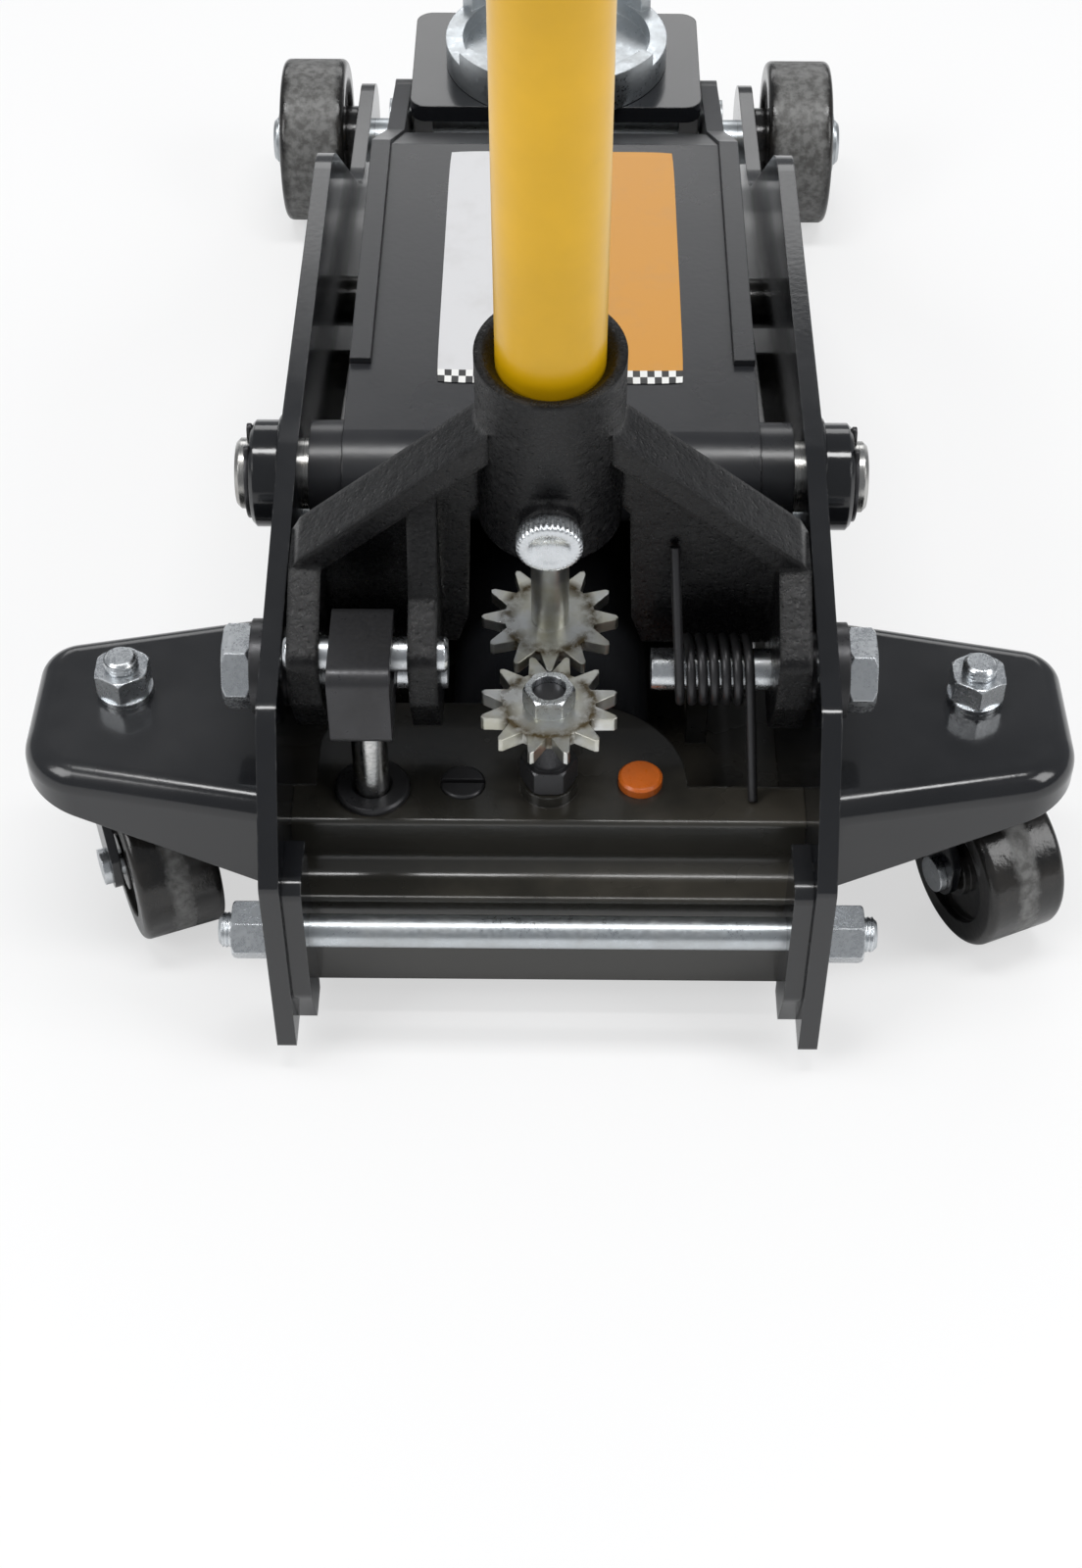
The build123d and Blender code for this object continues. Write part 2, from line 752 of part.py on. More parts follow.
for name, (x, y, radius, proud) in plug_places.items():
    with BuildPart() as plug:
        with BuildSketch(Plane.XY.offset(block_top - 6)):
            with Locations((x, tail_y + y)):
                Circle(radius)
        extrude(amount=6 + proud)
        chamfer(plug.edges().sort_by(Axis.Z)[-1], length=min(1.0, proud / 2))
        if name == "slotted_plugs":
            with BuildSketch(Plane.XY.offset(block_top + proud)):
                with Locations((x, tail_y + y)):
                    Rectangle(2 * radius + 1, 1.8)
            extrude(amount=-2.2, mode=Mode.SUBTRACT)
    keep(plug, name)

# ---- plunger ------------------------------------------------------------------------
swing = math.radians(handle_tilt_range)
pin_back = plunger_from_pivot * math.cos(swing) + plunger_pin_rise * math.sin(swing)
pin_drop = -plunger_from_pivot * math.sin(swing) + plunger_pin_rise * math.cos(swing)
stroke = plunger_pin_rise - pin_drop
pin_throw = math.hypot(plunger_from_pivot, plunger_pin_rise) - plunger_from_pivot
slot_slack = 1.3
head_width = 21.0
head_above_pin = 12.8
head_below_pin = 20.0
pin_z = pivot_z + plunger_pin_rise
slot_radius = plunger_pin_diameter / 2 + slot_slack
slot_wall = 5.0
head_front = plunger_y + slot_radius + slot_wall
head_rear = plunger_y - pin_throw - slot_radius - slot_wall

with BuildPart() as plunger_head:
    with BuildSketch(side(plunger_x - head_width / 2)):
        with Locations(
            ((head_front + head_rear) / 2, pin_z + (head_above_pin - head_below_pin) / 2)
        ):
            RectangleRounded(head_front - head_rear, head_above_pin + head_below_pin, 6)
        with BuildLine():
            FilletPolyline(
                (plunger_y + slot_radius, pin_z + 0.8 + slot_radius),
                (plunger_y - pin_throw - slot_radius, pin_z + 0.8 + slot_radius),
                (plunger_y - pin_throw - slot_radius, pin_z + 0.8 - slot_radius),
                (plunger_y + slot_radius, pin_z + 0.8 - slot_radius),
                radius=slot_radius - 0.6,
                close=True,
            )
        make_face(mode=Mode.SUBTRACT)
    extrude(amount=head_width)
keep(plunger_head, "plunger_head")

with BuildPart() as plunger_rod:
    with BuildSketch(Plane.XY.offset(block_top - 25)):
        with Locations((plunger_x, plunger_y)):
            Circle(plunger_diameter / 2)
    extrude(amount=pin_z - head_below_pin - block_top + 25)
keep(plunger_rod, "plunger_rod")

# ---- torsion spring on the right pivot bolt -----------------------------------------
spring_wire = 3.5
spring_turns = 6
spring_start = bolt_tip + 9.7
spring_end = ear_inner - 7.5
spring_pitch = (spring_end - spring_start) / spring_turns
spring_radius = 11.2
spring_angle = 150.0          # where both legs leave the coil, from the socket's forward direction
leg_to_socket = 50.0
leg_to_block = 46.0

with BuildPart() as spring_blank:
    with BuildLine() as spring_line:
        coil = Helix(spring_pitch, spring_pitch * spring_turns, spring_radius)
        Line(coil @ 0 - leg_to_socket * (coil % 0), coil @ 0)
        Line(coil @ 1, coil @ 1 + leg_to_block * (coil % 1))
    spring_path = spring_line.wires()[0]
    with BuildSketch(Plane(spring_path @ 0, z_dir=spring_path % 0)):
        Circle(spring_wire / 2)
    sweep(path=spring_path)

spring_rise = math.radians(spring_angle + handle_lean)
spring_place = Plane(
    origin=(spring_start, pivot_y, pivot_z),
    x_dir=(0, math.cos(spring_rise), math.sin(spring_rise)),
    z_dir=(1, 0, 0),
)
with BuildPart() as spring:
    add(spring_place * spring_blank.part)
keep(spring, "torsion_spring")

# ---- cylinder, reservoir and ram ----------------------------------------------------
cylinder_z = base_z + 43
reservoir_radius = 38.0
reservoir_end = 252.0
cylinder_radius = 27.0
cylinder_bore = 22.0
ram_radius = 16.0
ram_rear = 140.0
ram_end = 277.0


def tube_y(start, end, outside, inside, z=cylinder_z):
    """Round piece along Y between two distances from the tail."""
    with BuildSketch(Plane.XZ.offset(-tail_y - end)) as section:
        with Locations((0, z)):
            Circle(outside)
            if inside:
                Circle(inside, mode=Mode.SUBTRACT)
    extrude(section.sketch, amount=end - start)


with BuildPart() as reservoir:
    tube_y(block_front, reservoir_end, reservoir_radius, reservoir_radius - 3)
    tube_y(reservoir_end - 4, reservoir_end, reservoir_radius - 2, cylinder_radius + 0.1)
keep(reservoir, "reservoir_tube")

with BuildPart() as cylinder:
    tube_y(block_front, reservoir_end + 3, cylinder_radius, cylinder_bore)
keep(cylinder, "ram_cylinder")

with BuildPart() as cylinder_gland:
    tube_y(reservoir_end + 3, reservoir_end + 13, cylinder_radius + 2, ram_radius + running_clearance)
keep(cylinder_gland, "cylinder_gland")

with BuildPart() as ram:
    tube_y(ram_rear, ram_end, ram_radius, 0)
    tube_y(ram_rear, ram_rear + 18, cylinder_bore - running_clearance, 0)
keep(ram, "ram_rod")

# ---- lift arm -----------------------------------------------------------------------
cheek_inner = inner_x - 23
cheek_outer = inner_x - 15
collar_end = inner_x - 2.6
hub_radius = 17.0
collar_radius = 20.0
cover_under = hub_radius + 0.2
cover_thickness = 3.8
cover_flat_end = 190.0       # in front of the shaft
saddle_pin_diameter = 18.0
saddle_boss = 18.0
half_rise = math.radians(arm_rise / 2)
lug_y = shaft_y - lug_radius * math.sin(half_rise)
lug_z = shaft_z - lug_radius * math.cos(half_rise)
ram_stroke = 2 * lug_radius * math.sin(half_rise)
cover_z = shaft_z + cover_under
rail_rise = cover_thickness + 2.5
rail_start = 40.0
slope_y = saddle_y - 62
slope_z = saddle_z + 26

with BuildPart() as cheeks:
    for sign in sides.values():
        plane, depth = slab(sign, cheek_inner, cheek_outer)
        with BuildSketch(plane):
            Polygon(
                (shaft_y, cover_z),
                (shaft_y + rail_start, cover_z),
                (shaft_y + rail_start, cover_z + rail_rise),
                (shaft_y + cover_flat_end, cover_z + rail_rise),
                (slope_y, slope_z + rail_rise),
                (saddle_y, saddle_z + saddle_boss),
                (saddle_y, saddle_z - saddle_boss),
                (saddle_y - 80, saddle_z - saddle_boss),
                (shaft_y + 90, shaft_z - 46),
                (lug_y + 14, lug_z - 8),
                (lug_y, lug_z),
                (shaft_y - cover_under * 0.97, shaft_z - 4),
            )
            with Locations((shaft_y, shaft_z)):
                Circle(cover_under)
            with Locations((lug_y, lug_z)):
                Circle(14)
            with Locations((saddle_y, saddle_z)):
                Circle(saddle_boss)
            with Locations((shaft_y, shaft_z)):
                Circle(shaft_diameter / 2 + running_clearance, mode=Mode.SUBTRACT)
            with Locations((saddle_y, saddle_z)):
                Circle(saddle_pin_diameter / 2 + running_clearance, mode=Mode.SUBTRACT)
            with Locations((lug_y, lug_z)):
                Circle(lug_pin_diameter / 2 + running_clearance, mode=Mode.SUBTRACT)
        extrude(amount=depth)
keep(cheeks, "lift_arm_cheeks")

with BuildPart() as hub:
    for near, far, radius in (
        (-collar_end, -cheek_outer, collar_radius),
        (-cheek_inner, cheek_inner, hub_radius),
        (cheek_outer, collar_end, collar_radius),
    ):
        with BuildSketch(side(near)):
            with Locations((shaft_y, shaft_z)):
                Circle(radius)
                Circle(shaft_diameter / 2 + running_clearance, mode=Mode.SUBTRACT)
        extrude(amount=far - near)
keep(hub, "lift_arm_hub")

with BuildPart() as cover:
    for reach, flat_end, low_y, low_z in (
        (cheek_inner, cover_flat_end, slope_y, slope_z),
        (cheek_outer, rail_start - 0.4, shaft_y + rail_start - 0.4, cover_z),
    ):
        with BuildSketch(side(-reach)):
            with BuildLine():
                inner_arc = CenterArc((shaft_y, shaft_z), cover_under, 90, 70)
                outer_arc = CenterArc((shaft_y, shaft_z), cover_under + cover_thickness, 90, 70)
                Line(inner_arc @ 1, outer_arc @ 1)
                if reach == cheek_inner:
                    Polyline(
                        inner_arc @ 0,
                        (shaft_y + flat_end, cover_z),
                        (low_y, low_z),
                        (low_y + 1.5, low_z + cover_thickness),
                        (shaft_y + flat_end + 1, cover_z + cover_thickness),
                        outer_arc @ 0,
                    )
                else:
                    Polyline(
                        inner_arc @ 0,
                        (low_y, low_z),
                        (low_y, low_z + cover_thickness),
                        outer_arc @ 0,
                    )
            make_face()
        extrude(amount=2 * reach)
keep(cover, "lift_arm_cover")

pull_inner = 52.0
pull_outer = 60.0
with BuildPart() as arm_pins:
    for sign in sides.values():
        plane, depth = slab(sign, pull_inner - 2, cheek_outer)
        with BuildSketch(plane):
            with Locations((lug_y, lug_z)):
                Circle(lug_pin_diameter / 2)
        extrude(amount=depth)
    with BuildSketch(side(-cheek_outer - 3)):
        with Locations((saddle_y, saddle_z)):
            Circle(saddle_pin_diameter / 2)
    extrude(amount=2 * (cheek_outer + 3))
keep(arm_pins, "lift_arm_pins")

# ---- crosshead and pull plates on the ram -------------------------------------------
crosshead_depth = 28.0
crosshead_rear = tail_y + ram_end
slot_half_y = lug_pin_diameter / 2 + 1.6
slot_low = shaft_z - lug_radius - lug_pin_diameter / 2 - 1.5
slot_high = lug_z + lug_pin_diameter / 2 + 1.5

with BuildPart() as crosshead:
    with BuildSketch(side(-pull_inner)):
        with Locations((crosshead_rear + crosshead_depth / 2, cylinder_z)):
            RectangleRounded(crosshead_depth, 34, 4)
    extrude(amount=2 * pull_inner)
keep(crosshead, "ram_crosshead")

with BuildPart() as pull_plates:
    for sign in sides.values():
        plane, depth = slab(sign, pull_inner, pull_outer)
        with BuildSketch(plane):
            Polygon(
                (lug_y - slot_half_y - 7, slot_high + 7),
                (lug_y + slot_half_y + 9, slot_high + 7),
                (crosshead_rear + crosshead_depth, cylinder_z + 15),
                (crosshead_rear + crosshead_depth, cylinder_z - 15),
                (lug_y + slot_half_y + 9, slot_low - 8),
                (lug_y - slot_half_y - 7, slot_low - 8),
            )
            with Locations((lug_y, (slot_low + slot_high) / 2)):
                Rectangle(2 * slot_half_y, slot_high - slot_low, mode=Mode.SUBTRACT)
        extrude(amount=depth)
keep(pull_plates, "ram_pull_plates")

# ---- saddle -------------------------------------------------------------------------
bracket_outer = cheek_inner - 1.5
bracket_inner = bracket_outer - 9
bracket_plate_z = saddle_z + 24
bracket_plate = 8.0
saddle_radius = 52.0
front_pin_y = saddle_y + leveling_offset_y
front_pin_z = saddle_z + leveling_offset_z
link_inner = inner_x - 11
link_outer = inner_x - 5

with BuildPart() as bracket:
    with BuildSketch(Plane.XY.offset(bracket_plate_z)):
        with Locations((0, saddle_y)):
            RectangleRounded(2 * bracket_outer, 84, 8)
            Circle(12 + running_clearance, mode=Mode.SUBTRACT)
    extrude(amount=bracket_plate)
    for sign in sides.values():
        plane, depth = slab(sign, bracket_inner, bracket_outer)
        with BuildSketch(plane):
            Polygon(
                (saddle_y - 30, bracket_plate_z),
                (saddle_y + 34, bracket_plate_z),
                (front_pin_y + 11, front_pin_z),
                (front_pin_y - 11, front_pin_z),
                (saddle_y - 15, saddle_z - 6),
            )
            with Locations((front_pin_y, front_pin_z)):
                Circle(11)
                Circle(leveling_pin_diameter / 2 + running_clearance, mode=Mode.SUBTRACT)
            with Locations((saddle_y, saddle_z)):
                Circle(saddle_pin_diameter / 2 + running_clearance, mode=Mode.SUBTRACT)
        extrude(amount=depth)
keep(bracket, "saddle_bracket")

with BuildPart() as pad:
    with BuildSketch(Plane.XY.offset(bracket_plate_z + bracket_plate + 0.3)):
        with Locations((0, saddle_y)):
            Circle(saddle_radius)
    extrude(amount=12)
    with BuildSketch(Plane.XY.offset(bracket_plate_z + bracket_plate + 5.3)):
        with Locations((0, saddle_y)):
            Circle(saddle_radius - 8)
    extrude(amount=7, mode=Mode.SUBTRACT)
    with BuildSketch(Plane.XY.offset(bracket_plate_z + bracket_plate + 12.3)):
        with Locations((0, saddle_y)):
            with PolarLocations(saddle_radius - 4, 4, start_angle=45):
                Rectangle(8, 26)
        with Locations((0, saddle_y)):
            Circle(saddle_radius, mode=Mode.INTERSECT)
    extrude(amount=6)
    with BuildSketch(Plane.XY.offset(bracket_plate_z - 6)):
        with Locations((0, saddle_y)):
            Circle(12)
    extrude(amount=bracket_plate + 6.3)
keep(pad, "saddle_pad")

with BuildPart() as links:
    for sign in sides.values():
        plane, depth = slab(sign, link_inner, link_outer)
        with BuildSketch(plane):
            with BuildLine():
                Polyline((leveling_y, leveling_z + 8), (front_pin_y, front_pin_z + 8))
                Line((front_pin_y, front_pin_z + 8), (front_pin_y, front_pin_z - 8))
                Line((front_pin_y, front_pin_z - 8), (leveling_y, leveling_z - 8))
                Line((leveling_y, leveling_z - 8), (leveling_y, leveling_z + 8))
            make_face()
            for y, z in ((leveling_y, leveling_z), (front_pin_y, front_pin_z)):
                with Locations((y, z)):
                    Circle(11)
            for y, z in ((leveling_y, leveling_z), (front_pin_y, front_pin_z)):
                with Locations((y, z)):
                    Circle(leveling_pin_diameter / 2 + running_clearance, mode=Mode.SUBTRACT)
        extrude(amount=depth)
keep(links, "leveling_links")

for name, y, z, near, far in (
    ("leveling_rear_pins", leveling_y, leveling_z, link_inner - 1, outer_x),
    ("leveling_front_pins", front_pin_y, front_pin_z, bracket_inner, link_outer + 1),
):
    with BuildPart() as pins:
        for sign in sides.values():
            plane, depth = slab(sign, near, far)
            with BuildSketch(plane):
                with Locations((y, z)):
                    Circle(leveling_pin_diameter / 2)
            extrude(amount=depth)
    keep(pins, name)

# ---- rear casters -------------------------------------------------------------------
race_height = 11.7
fork_thickness = 4.0
wing_under = wing_z - wing_thickness
fork_top = wing_under - race_height - 0.3
stud_head = 3.5
leg_inner = caster_width / 2 + 1.5
leg_outer = leg_inner + 3.5
stud_proud = 5.0
washer_height = 2.5


def at_studs():
    """Places of the two studs."""
    return Locations(*[(sign * stud_x, stud_y) for sign in sides.values()])


with BuildPart() as studs:
    stud_low = fork_top - fork_thickness - 0.3 - stud_head
    stud_high = wing_z + washer_height + nut_thickness + stud_proud
    with BuildSketch(Plane.XY.offset(stud_low)):
        with at_studs():
            Circle(stud_diameter / 2)
    extrude(amount=stud_high - stud_low)
    chamfer(studs.faces().sort_by(Axis.Z)[-2:].edges(), length=1.2)
    with BuildSketch(Plane.XY.offset(stud_low)):
        with at_studs():
            Circle(11)
    extrude(amount=stud_head)
keep(studs, "caster_studs")

with BuildPart() as races:
    with BuildSketch(Plane.XY.offset(wing_under)):
        with at_studs():
            Circle(17)
            Circle(stud_diameter / 2 + running_clearance, mode=Mode.SUBTRACT)
    extrude(amount=-race_height)
keep(races, "caster_races")

with BuildPart() as caster_washers:
    with BuildSketch(Plane.XY.offset(wing_z)):
        with at_studs():
            Circle(10.5)
            Circle(stud_diameter / 2 + running_clearance, mode=Mode.SUBTRACT)
    extrude(amount=washer_height)
keep(caster_washers, "caster_washers")

with BuildPart() as caster_nuts:
    for sign in sides.values():
        seat = Plane((sign * stud_x, stud_y, wing_z + washer_height), (0, 1, 0), (0, 0, 1))
        add(hex_prism(seat, nut_flats, nut_thickness))
    with BuildSketch(Plane.XY.offset(wing_z + washer_height)):
        with at_studs():
            Circle(stud_diameter / 2 + running_clearance)
    extrude(amount=nut_thickness, mode=Mode.SUBTRACT)
keep(caster_nuts, "caster_nuts")

for name, sign in sides.items():
    turn = math.radians(caster_turn[name])
    across = (math.cos(turn), math.sin(turn), 0)
    ahead = (-math.sin(turn), math.cos(turn), 0)
    stud_place = (sign * stud_x, stud_y, 0)

    def leg_plane(offset):
        """Plane square to the wheel's axle; its axes are ahead and up."""
        origin = [stud_place[i] + offset * across[i] for i in range(3)]
        return Plane(origin=origin, x_dir=ahead, z_dir=across)

    with BuildPart() as fork:
        with BuildSketch(Plane(origin=(*stud_place[:2], fork_top), x_dir=across, z_dir=(0, 0, 1))):
            with Locations((0, -1)):
                RectangleRounded(2 * leg_outer, 34, 6)
            Circle(stud_diameter / 2 + running_clearance, mode=Mode.SUBTRACT)
        extrude(amount=-fork_thickness)
        for low in (-leg_outer, leg_inner):
            with BuildSketch(leg_plane(low)):
                Polygon(
                    (10, fork_top),
                    (-14, fork_top),
                    (-16, fork_top - 13),
                    (-caster_trail - 9, caster_radius + 10),
                    (-caster_trail - 9, caster_radius),
                    (-caster_trail + 9, caster_radius - 2),
                    (10, fork_top - 16),
                )
                with Locations((-caster_trail, caster_radius)):
                    Circle(9)
                    Circle(caster_axle_diameter / 2 + running_clearance, mode=Mode.SUBTRACT)
            extrude(amount=leg_outer - leg_inner)
    keep(fork, f"caster_fork_{name}")

    with BuildPart() as caster_axle:
        for low, high, radius in (
            (-leg_outer - 3, -leg_outer, 7),
            (-leg_outer, leg_outer, caster_axle_diameter / 2),
            (leg_outer, leg_outer + 3, 7),
        ):
            with BuildSketch(leg_plane(low)):
                with Locations((-caster_trail, caster_radius)):
                    Circle(radius)
            extrude(amount=high - low)
    keep(caster_axle, f"caster_axle_{name}")

    with BuildPart() as caster_wheel:
        with BuildSketch(leg_plane(-caster_width / 2)):
            with Locations((-caster_trail, caster_radius)):
                Circle(caster_radius)
        extrude(amount=caster_width)
        fillet(caster_wheel.edges(), radius=3)
        for low in (-caster_width / 2, caster_width / 2 - 3):
            with BuildSketch(leg_plane(low)):
                with Locations((-caster_trail, caster_radius)):
                    Circle(22)
                    Circle(11, mode=Mode.SUBTRACT)
            extrude(amount=3, mode=Mode.SUBTRACT)
        with BuildSketch(leg_plane(-caster_width / 2)):
            with Locations((-caster_trail, caster_radius)):
                Circle(caster_axle_diameter / 2 + running_clearance)
        extrude(amount=caster_width, mode=Mode.SUBTRACT)
    keep(caster_wheel, f"caster_wheel_{name}")

print("pivot", pivot_y, pivot_z, "plunger stroke", stroke, "ram stroke", ram_stroke)
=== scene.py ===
"""Finish and studio set for the trolley jack.

Materials, small turned and welded details, light and camera.
"""

import json
import logging
import math
from dataclasses import dataclass
from enum import Enum
from typing import Iterable, Sequence

import bpy
import numpy as np
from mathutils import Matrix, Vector

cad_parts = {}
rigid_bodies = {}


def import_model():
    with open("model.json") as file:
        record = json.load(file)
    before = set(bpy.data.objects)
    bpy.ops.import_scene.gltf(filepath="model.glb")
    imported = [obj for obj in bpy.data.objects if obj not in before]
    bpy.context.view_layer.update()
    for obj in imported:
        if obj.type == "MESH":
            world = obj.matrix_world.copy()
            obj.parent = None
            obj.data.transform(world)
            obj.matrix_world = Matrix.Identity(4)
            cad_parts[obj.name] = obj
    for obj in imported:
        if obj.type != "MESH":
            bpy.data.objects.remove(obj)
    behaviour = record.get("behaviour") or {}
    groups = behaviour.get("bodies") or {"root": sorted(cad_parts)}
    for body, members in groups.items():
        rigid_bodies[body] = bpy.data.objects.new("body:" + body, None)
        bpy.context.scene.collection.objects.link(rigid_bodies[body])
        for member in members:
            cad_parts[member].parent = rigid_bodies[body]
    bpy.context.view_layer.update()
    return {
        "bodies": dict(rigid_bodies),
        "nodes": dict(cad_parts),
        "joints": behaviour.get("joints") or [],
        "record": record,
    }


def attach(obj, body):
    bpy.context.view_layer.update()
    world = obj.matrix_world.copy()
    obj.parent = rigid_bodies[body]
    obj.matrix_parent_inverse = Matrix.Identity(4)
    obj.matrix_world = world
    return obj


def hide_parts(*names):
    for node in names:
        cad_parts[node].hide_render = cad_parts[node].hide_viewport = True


LOG = logging.getLogger("jack")
Colour = tuple[float, float, float]
Pair = tuple[float, float]
Object = bpy.types.Object
Material = bpy.types.Material
Socket = bpy.types.NodeSocket
TAIL_Y = -0.259349
TURN = 2 * math.pi


# ------------------------------------------------------------------ meshes from numpy arrays


def grid_faces(rows: int, columns: int, close_rows: bool, close_columns: bool) -> np.ndarray:
    """Quads that join a grid of points, row by row.

    Args:
        rows: number of points along the first parameter.
        columns: number of points along the second parameter.
        close_rows: whether the last row joins the first.
        close_columns: whether the last column joins the first.

    Returns:
        Array of shape (faces, 4) with vertex numbers.
    """
    i = np.arange(rows if close_rows else rows - 1)
    j = np.arange(columns if close_columns else columns - 1)
    a, b = np.meshgrid(i, j, indexing="ij")
    a, b = a.ravel(), b.ravel()
    a1, b1 = (a + 1) % rows, (b + 1) % columns
    return np.stack([a * columns + b, a1 * columns + b, a1 * columns + b1, a * columns + b1], axis=1)


def surface_object(
    name: str, points: np.ndarray, close_rows: bool = False, close_columns: bool = False,
    cap_rows: bool = False,
) -> Object:
    """Mesh object from a grid of points.

    Args:
        name: object name.
        points: array (rows, columns, 3) in metres.
        close_rows: whether the first parameter wraps round.
        close_columns: whether the second parameter wraps round.
        cap_rows: whether the first and last rows are filled with a face each.

    Returns:
        The new object, linked to the scene.
    """
    rows, columns, _ = points.shape
    faces = [tuple(f) for f in grid_faces(rows, columns, close_rows, close_columns).tolist()]
    if cap_rows:
        faces.append(tuple(range(columns)))
        faces.append(tuple(reversed(range((rows - 1) * columns, rows * columns))))
    mesh = bpy.data.meshes.new(name)
    mesh.from_pydata(points.reshape(-1, 3).tolist(), [], faces)
    mesh.validate()
    orient_outwards(mesh)
    mesh.polygons.foreach_set("use_smooth", np.ones(len(mesh.polygons), dtype=bool))
    obj = bpy.data.objects.new(name, mesh)
    bpy.context.scene.collection.objects.link(obj)
    return obj


def orient_outwards(mesh: bpy.types.Mesh) -> None:
    """Merge doubles and turn every face of a closed mesh outwards.

    Args:
        mesh: the mesh, changed in place.
    """
    import bmesh

    work = bmesh.new()
    work.from_mesh(mesh)
    bmesh.ops.remove_doubles(work, verts=work.verts, dist=1e-7)
    bmesh.ops.recalc_face_normals(work, faces=work.faces)
    work.to_mesh(mesh)
    work.free()


@dataclass(frozen=True)
class Frame3:
    """Right-handed axes for placing a turned piece; `along` is the turning axis."""

    origin: tuple[float, float, float]
    along: tuple[float, float, float]

    def basis(self) -> tuple[np.ndarray, np.ndarray, np.ndarray]:
        """Three unit vectors: two across the axis and the axis itself."""
        axis = np.array(self.along, float)
        axis /= np.linalg.norm(axis)
        helper = np.array([0.0, 0.0, 1.0]) if abs(axis[2]) < 0.9 else np.array([1.0, 0.0, 0.0])
        across = np.cross(helper, axis)
        across /= np.linalg.norm(across)
        return across, np.cross(axis, across), axis

    def place(self, radius: np.ndarray, angle: np.ndarray, height: np.ndarray) -> np.ndarray:
        """Points from cylindrical coordinates: origin + r (cos a, sin a) across + h along."""
        e1, e2, e3 = self.basis()
        return (
            np.array(self.origin)
            + (radius * np.cos(angle))[..., None] * e1
            + (radius * np.sin(angle))[..., None] * e2
            + height[..., None] * e3
        )


def turned(name: str, frame: Frame3, profile: Sequence[Pair], steps: int = 64) -> Object:
    """Closed piece of revolution.

    Each point of the profile (radius, height) is carried round the axis, so the surface is
    P(s, a) = origin + r(s) (cos a, sin a) + h(s) along. The profile is a closed loop.

    Args:
        name: object name.
        frame: where the axis is.
        profile: closed loop of (radius, height) in metres.
        steps: points round the axis.

    Returns:
        The new object.
    """
    loop = np.array(profile, float)
    angle = np.linspace(0, TURN, steps, endpoint=False)
    r, a = np.meshgrid(loop[:, 0], angle, indexing="ij")
    h, _ = np.meshgrid(loop[:, 1], angle, indexing="ij")
    return surface_object(name, frame.place(r, a, h), close_rows=True, close_columns=True)


def round_profile(profile: Sequence[Pair], radius: float, steps: int = 4) -> list[Pair]:
    """Round the corners of a closed profile.

    Each corner is replaced by a quadratic curve between points set back by the radius, or by
    half of the shorter side next to it.

    Args:
        profile: closed loop of corners.
        radius: set-back along both sides.
        steps: points in each rounded corner.

    Returns:
        The loop with rounded corners.
    """
    pts = np.array(profile, float)
    out: list[Pair] = []
    t = np.linspace(0, 1, steps)[:, None]
    for i, corner in enumerate(pts):
        before, after = pts[i - 1] - corner, pts[(i + 1) % len(pts)] - corner
        lb, la = np.linalg.norm(before), np.linalg.norm(after)
        back = min(radius, 0.45 * lb, 0.45 * la)
        start, end = corner + before / lb * back, corner + after / la * back
        curve = (1 - t) ** 2 * start + 2 * t * (1 - t) * corner + t**2 * end
        out.extend(map(tuple, curve))
    return out


def bead(
    name: str, path: np.ndarray, normal: np.ndarray, radius: float, closed: bool, seed: int,
) -> Object:
    """Weld bead along a path.

    A circle is carried along the path; its radius swells and shrinks by a twelfth in time
    with the ripples of the weld, and it wanders a little from side to side.

    Args:
        name: object name.
        path: array (n, 3) of points.
        normal: a direction that is never along the path.
        radius: mean bead radius.
        closed: whether the path is a loop.
        seed: start of the random wander.

    Returns:
        The new object.
    """
    rng = np.random.default_rng(seed)
    n = len(path)
    if closed:
        tangent = np.roll(path, -1, 0) - np.roll(path, 1, 0)
    else:
        tangent = np.gradient(path, axis=0)
    tangent /= np.linalg.norm(tangent, axis=1)[:, None]
    side = np.cross(tangent, normal)
    side /= np.linalg.norm(side, axis=1)[:, None]
    up = np.cross(side, tangent)
    step = np.linalg.norm(np.diff(path, axis=0), axis=1).mean()
    ripple = np.sin(np.arange(n) * step / 0.0016 * TURN)
    wander = np.convolve(rng.normal(0, 1, n + 24), np.ones(25) / 25, mode="valid") * radius * 0.5
    size = radius * (1 + 0.08 * ripple + 0.12 * wander / radius)
    if not closed:
        ends = np.clip(np.minimum(np.arange(n), n - 1 - np.arange(n)) / 5.0, 0.15, 1)
        size = size * np.sqrt(ends)
    angle = np.linspace(0, TURN, 14, endpoint=False)
    ring = np.cos(angle)[None, :, None] * side[:, None, :] + np.sin(angle)[None, :, None] * up[:, None, :]
    points = path[:, None, :] + size[:, None, None] * ring + (wander[:, None] * side)[:, None, :]
    return surface_object(name, points, close_rows=closed, close_columns=True, cap_rows=not closed)


# ------------------------------------------------------------------ finishes


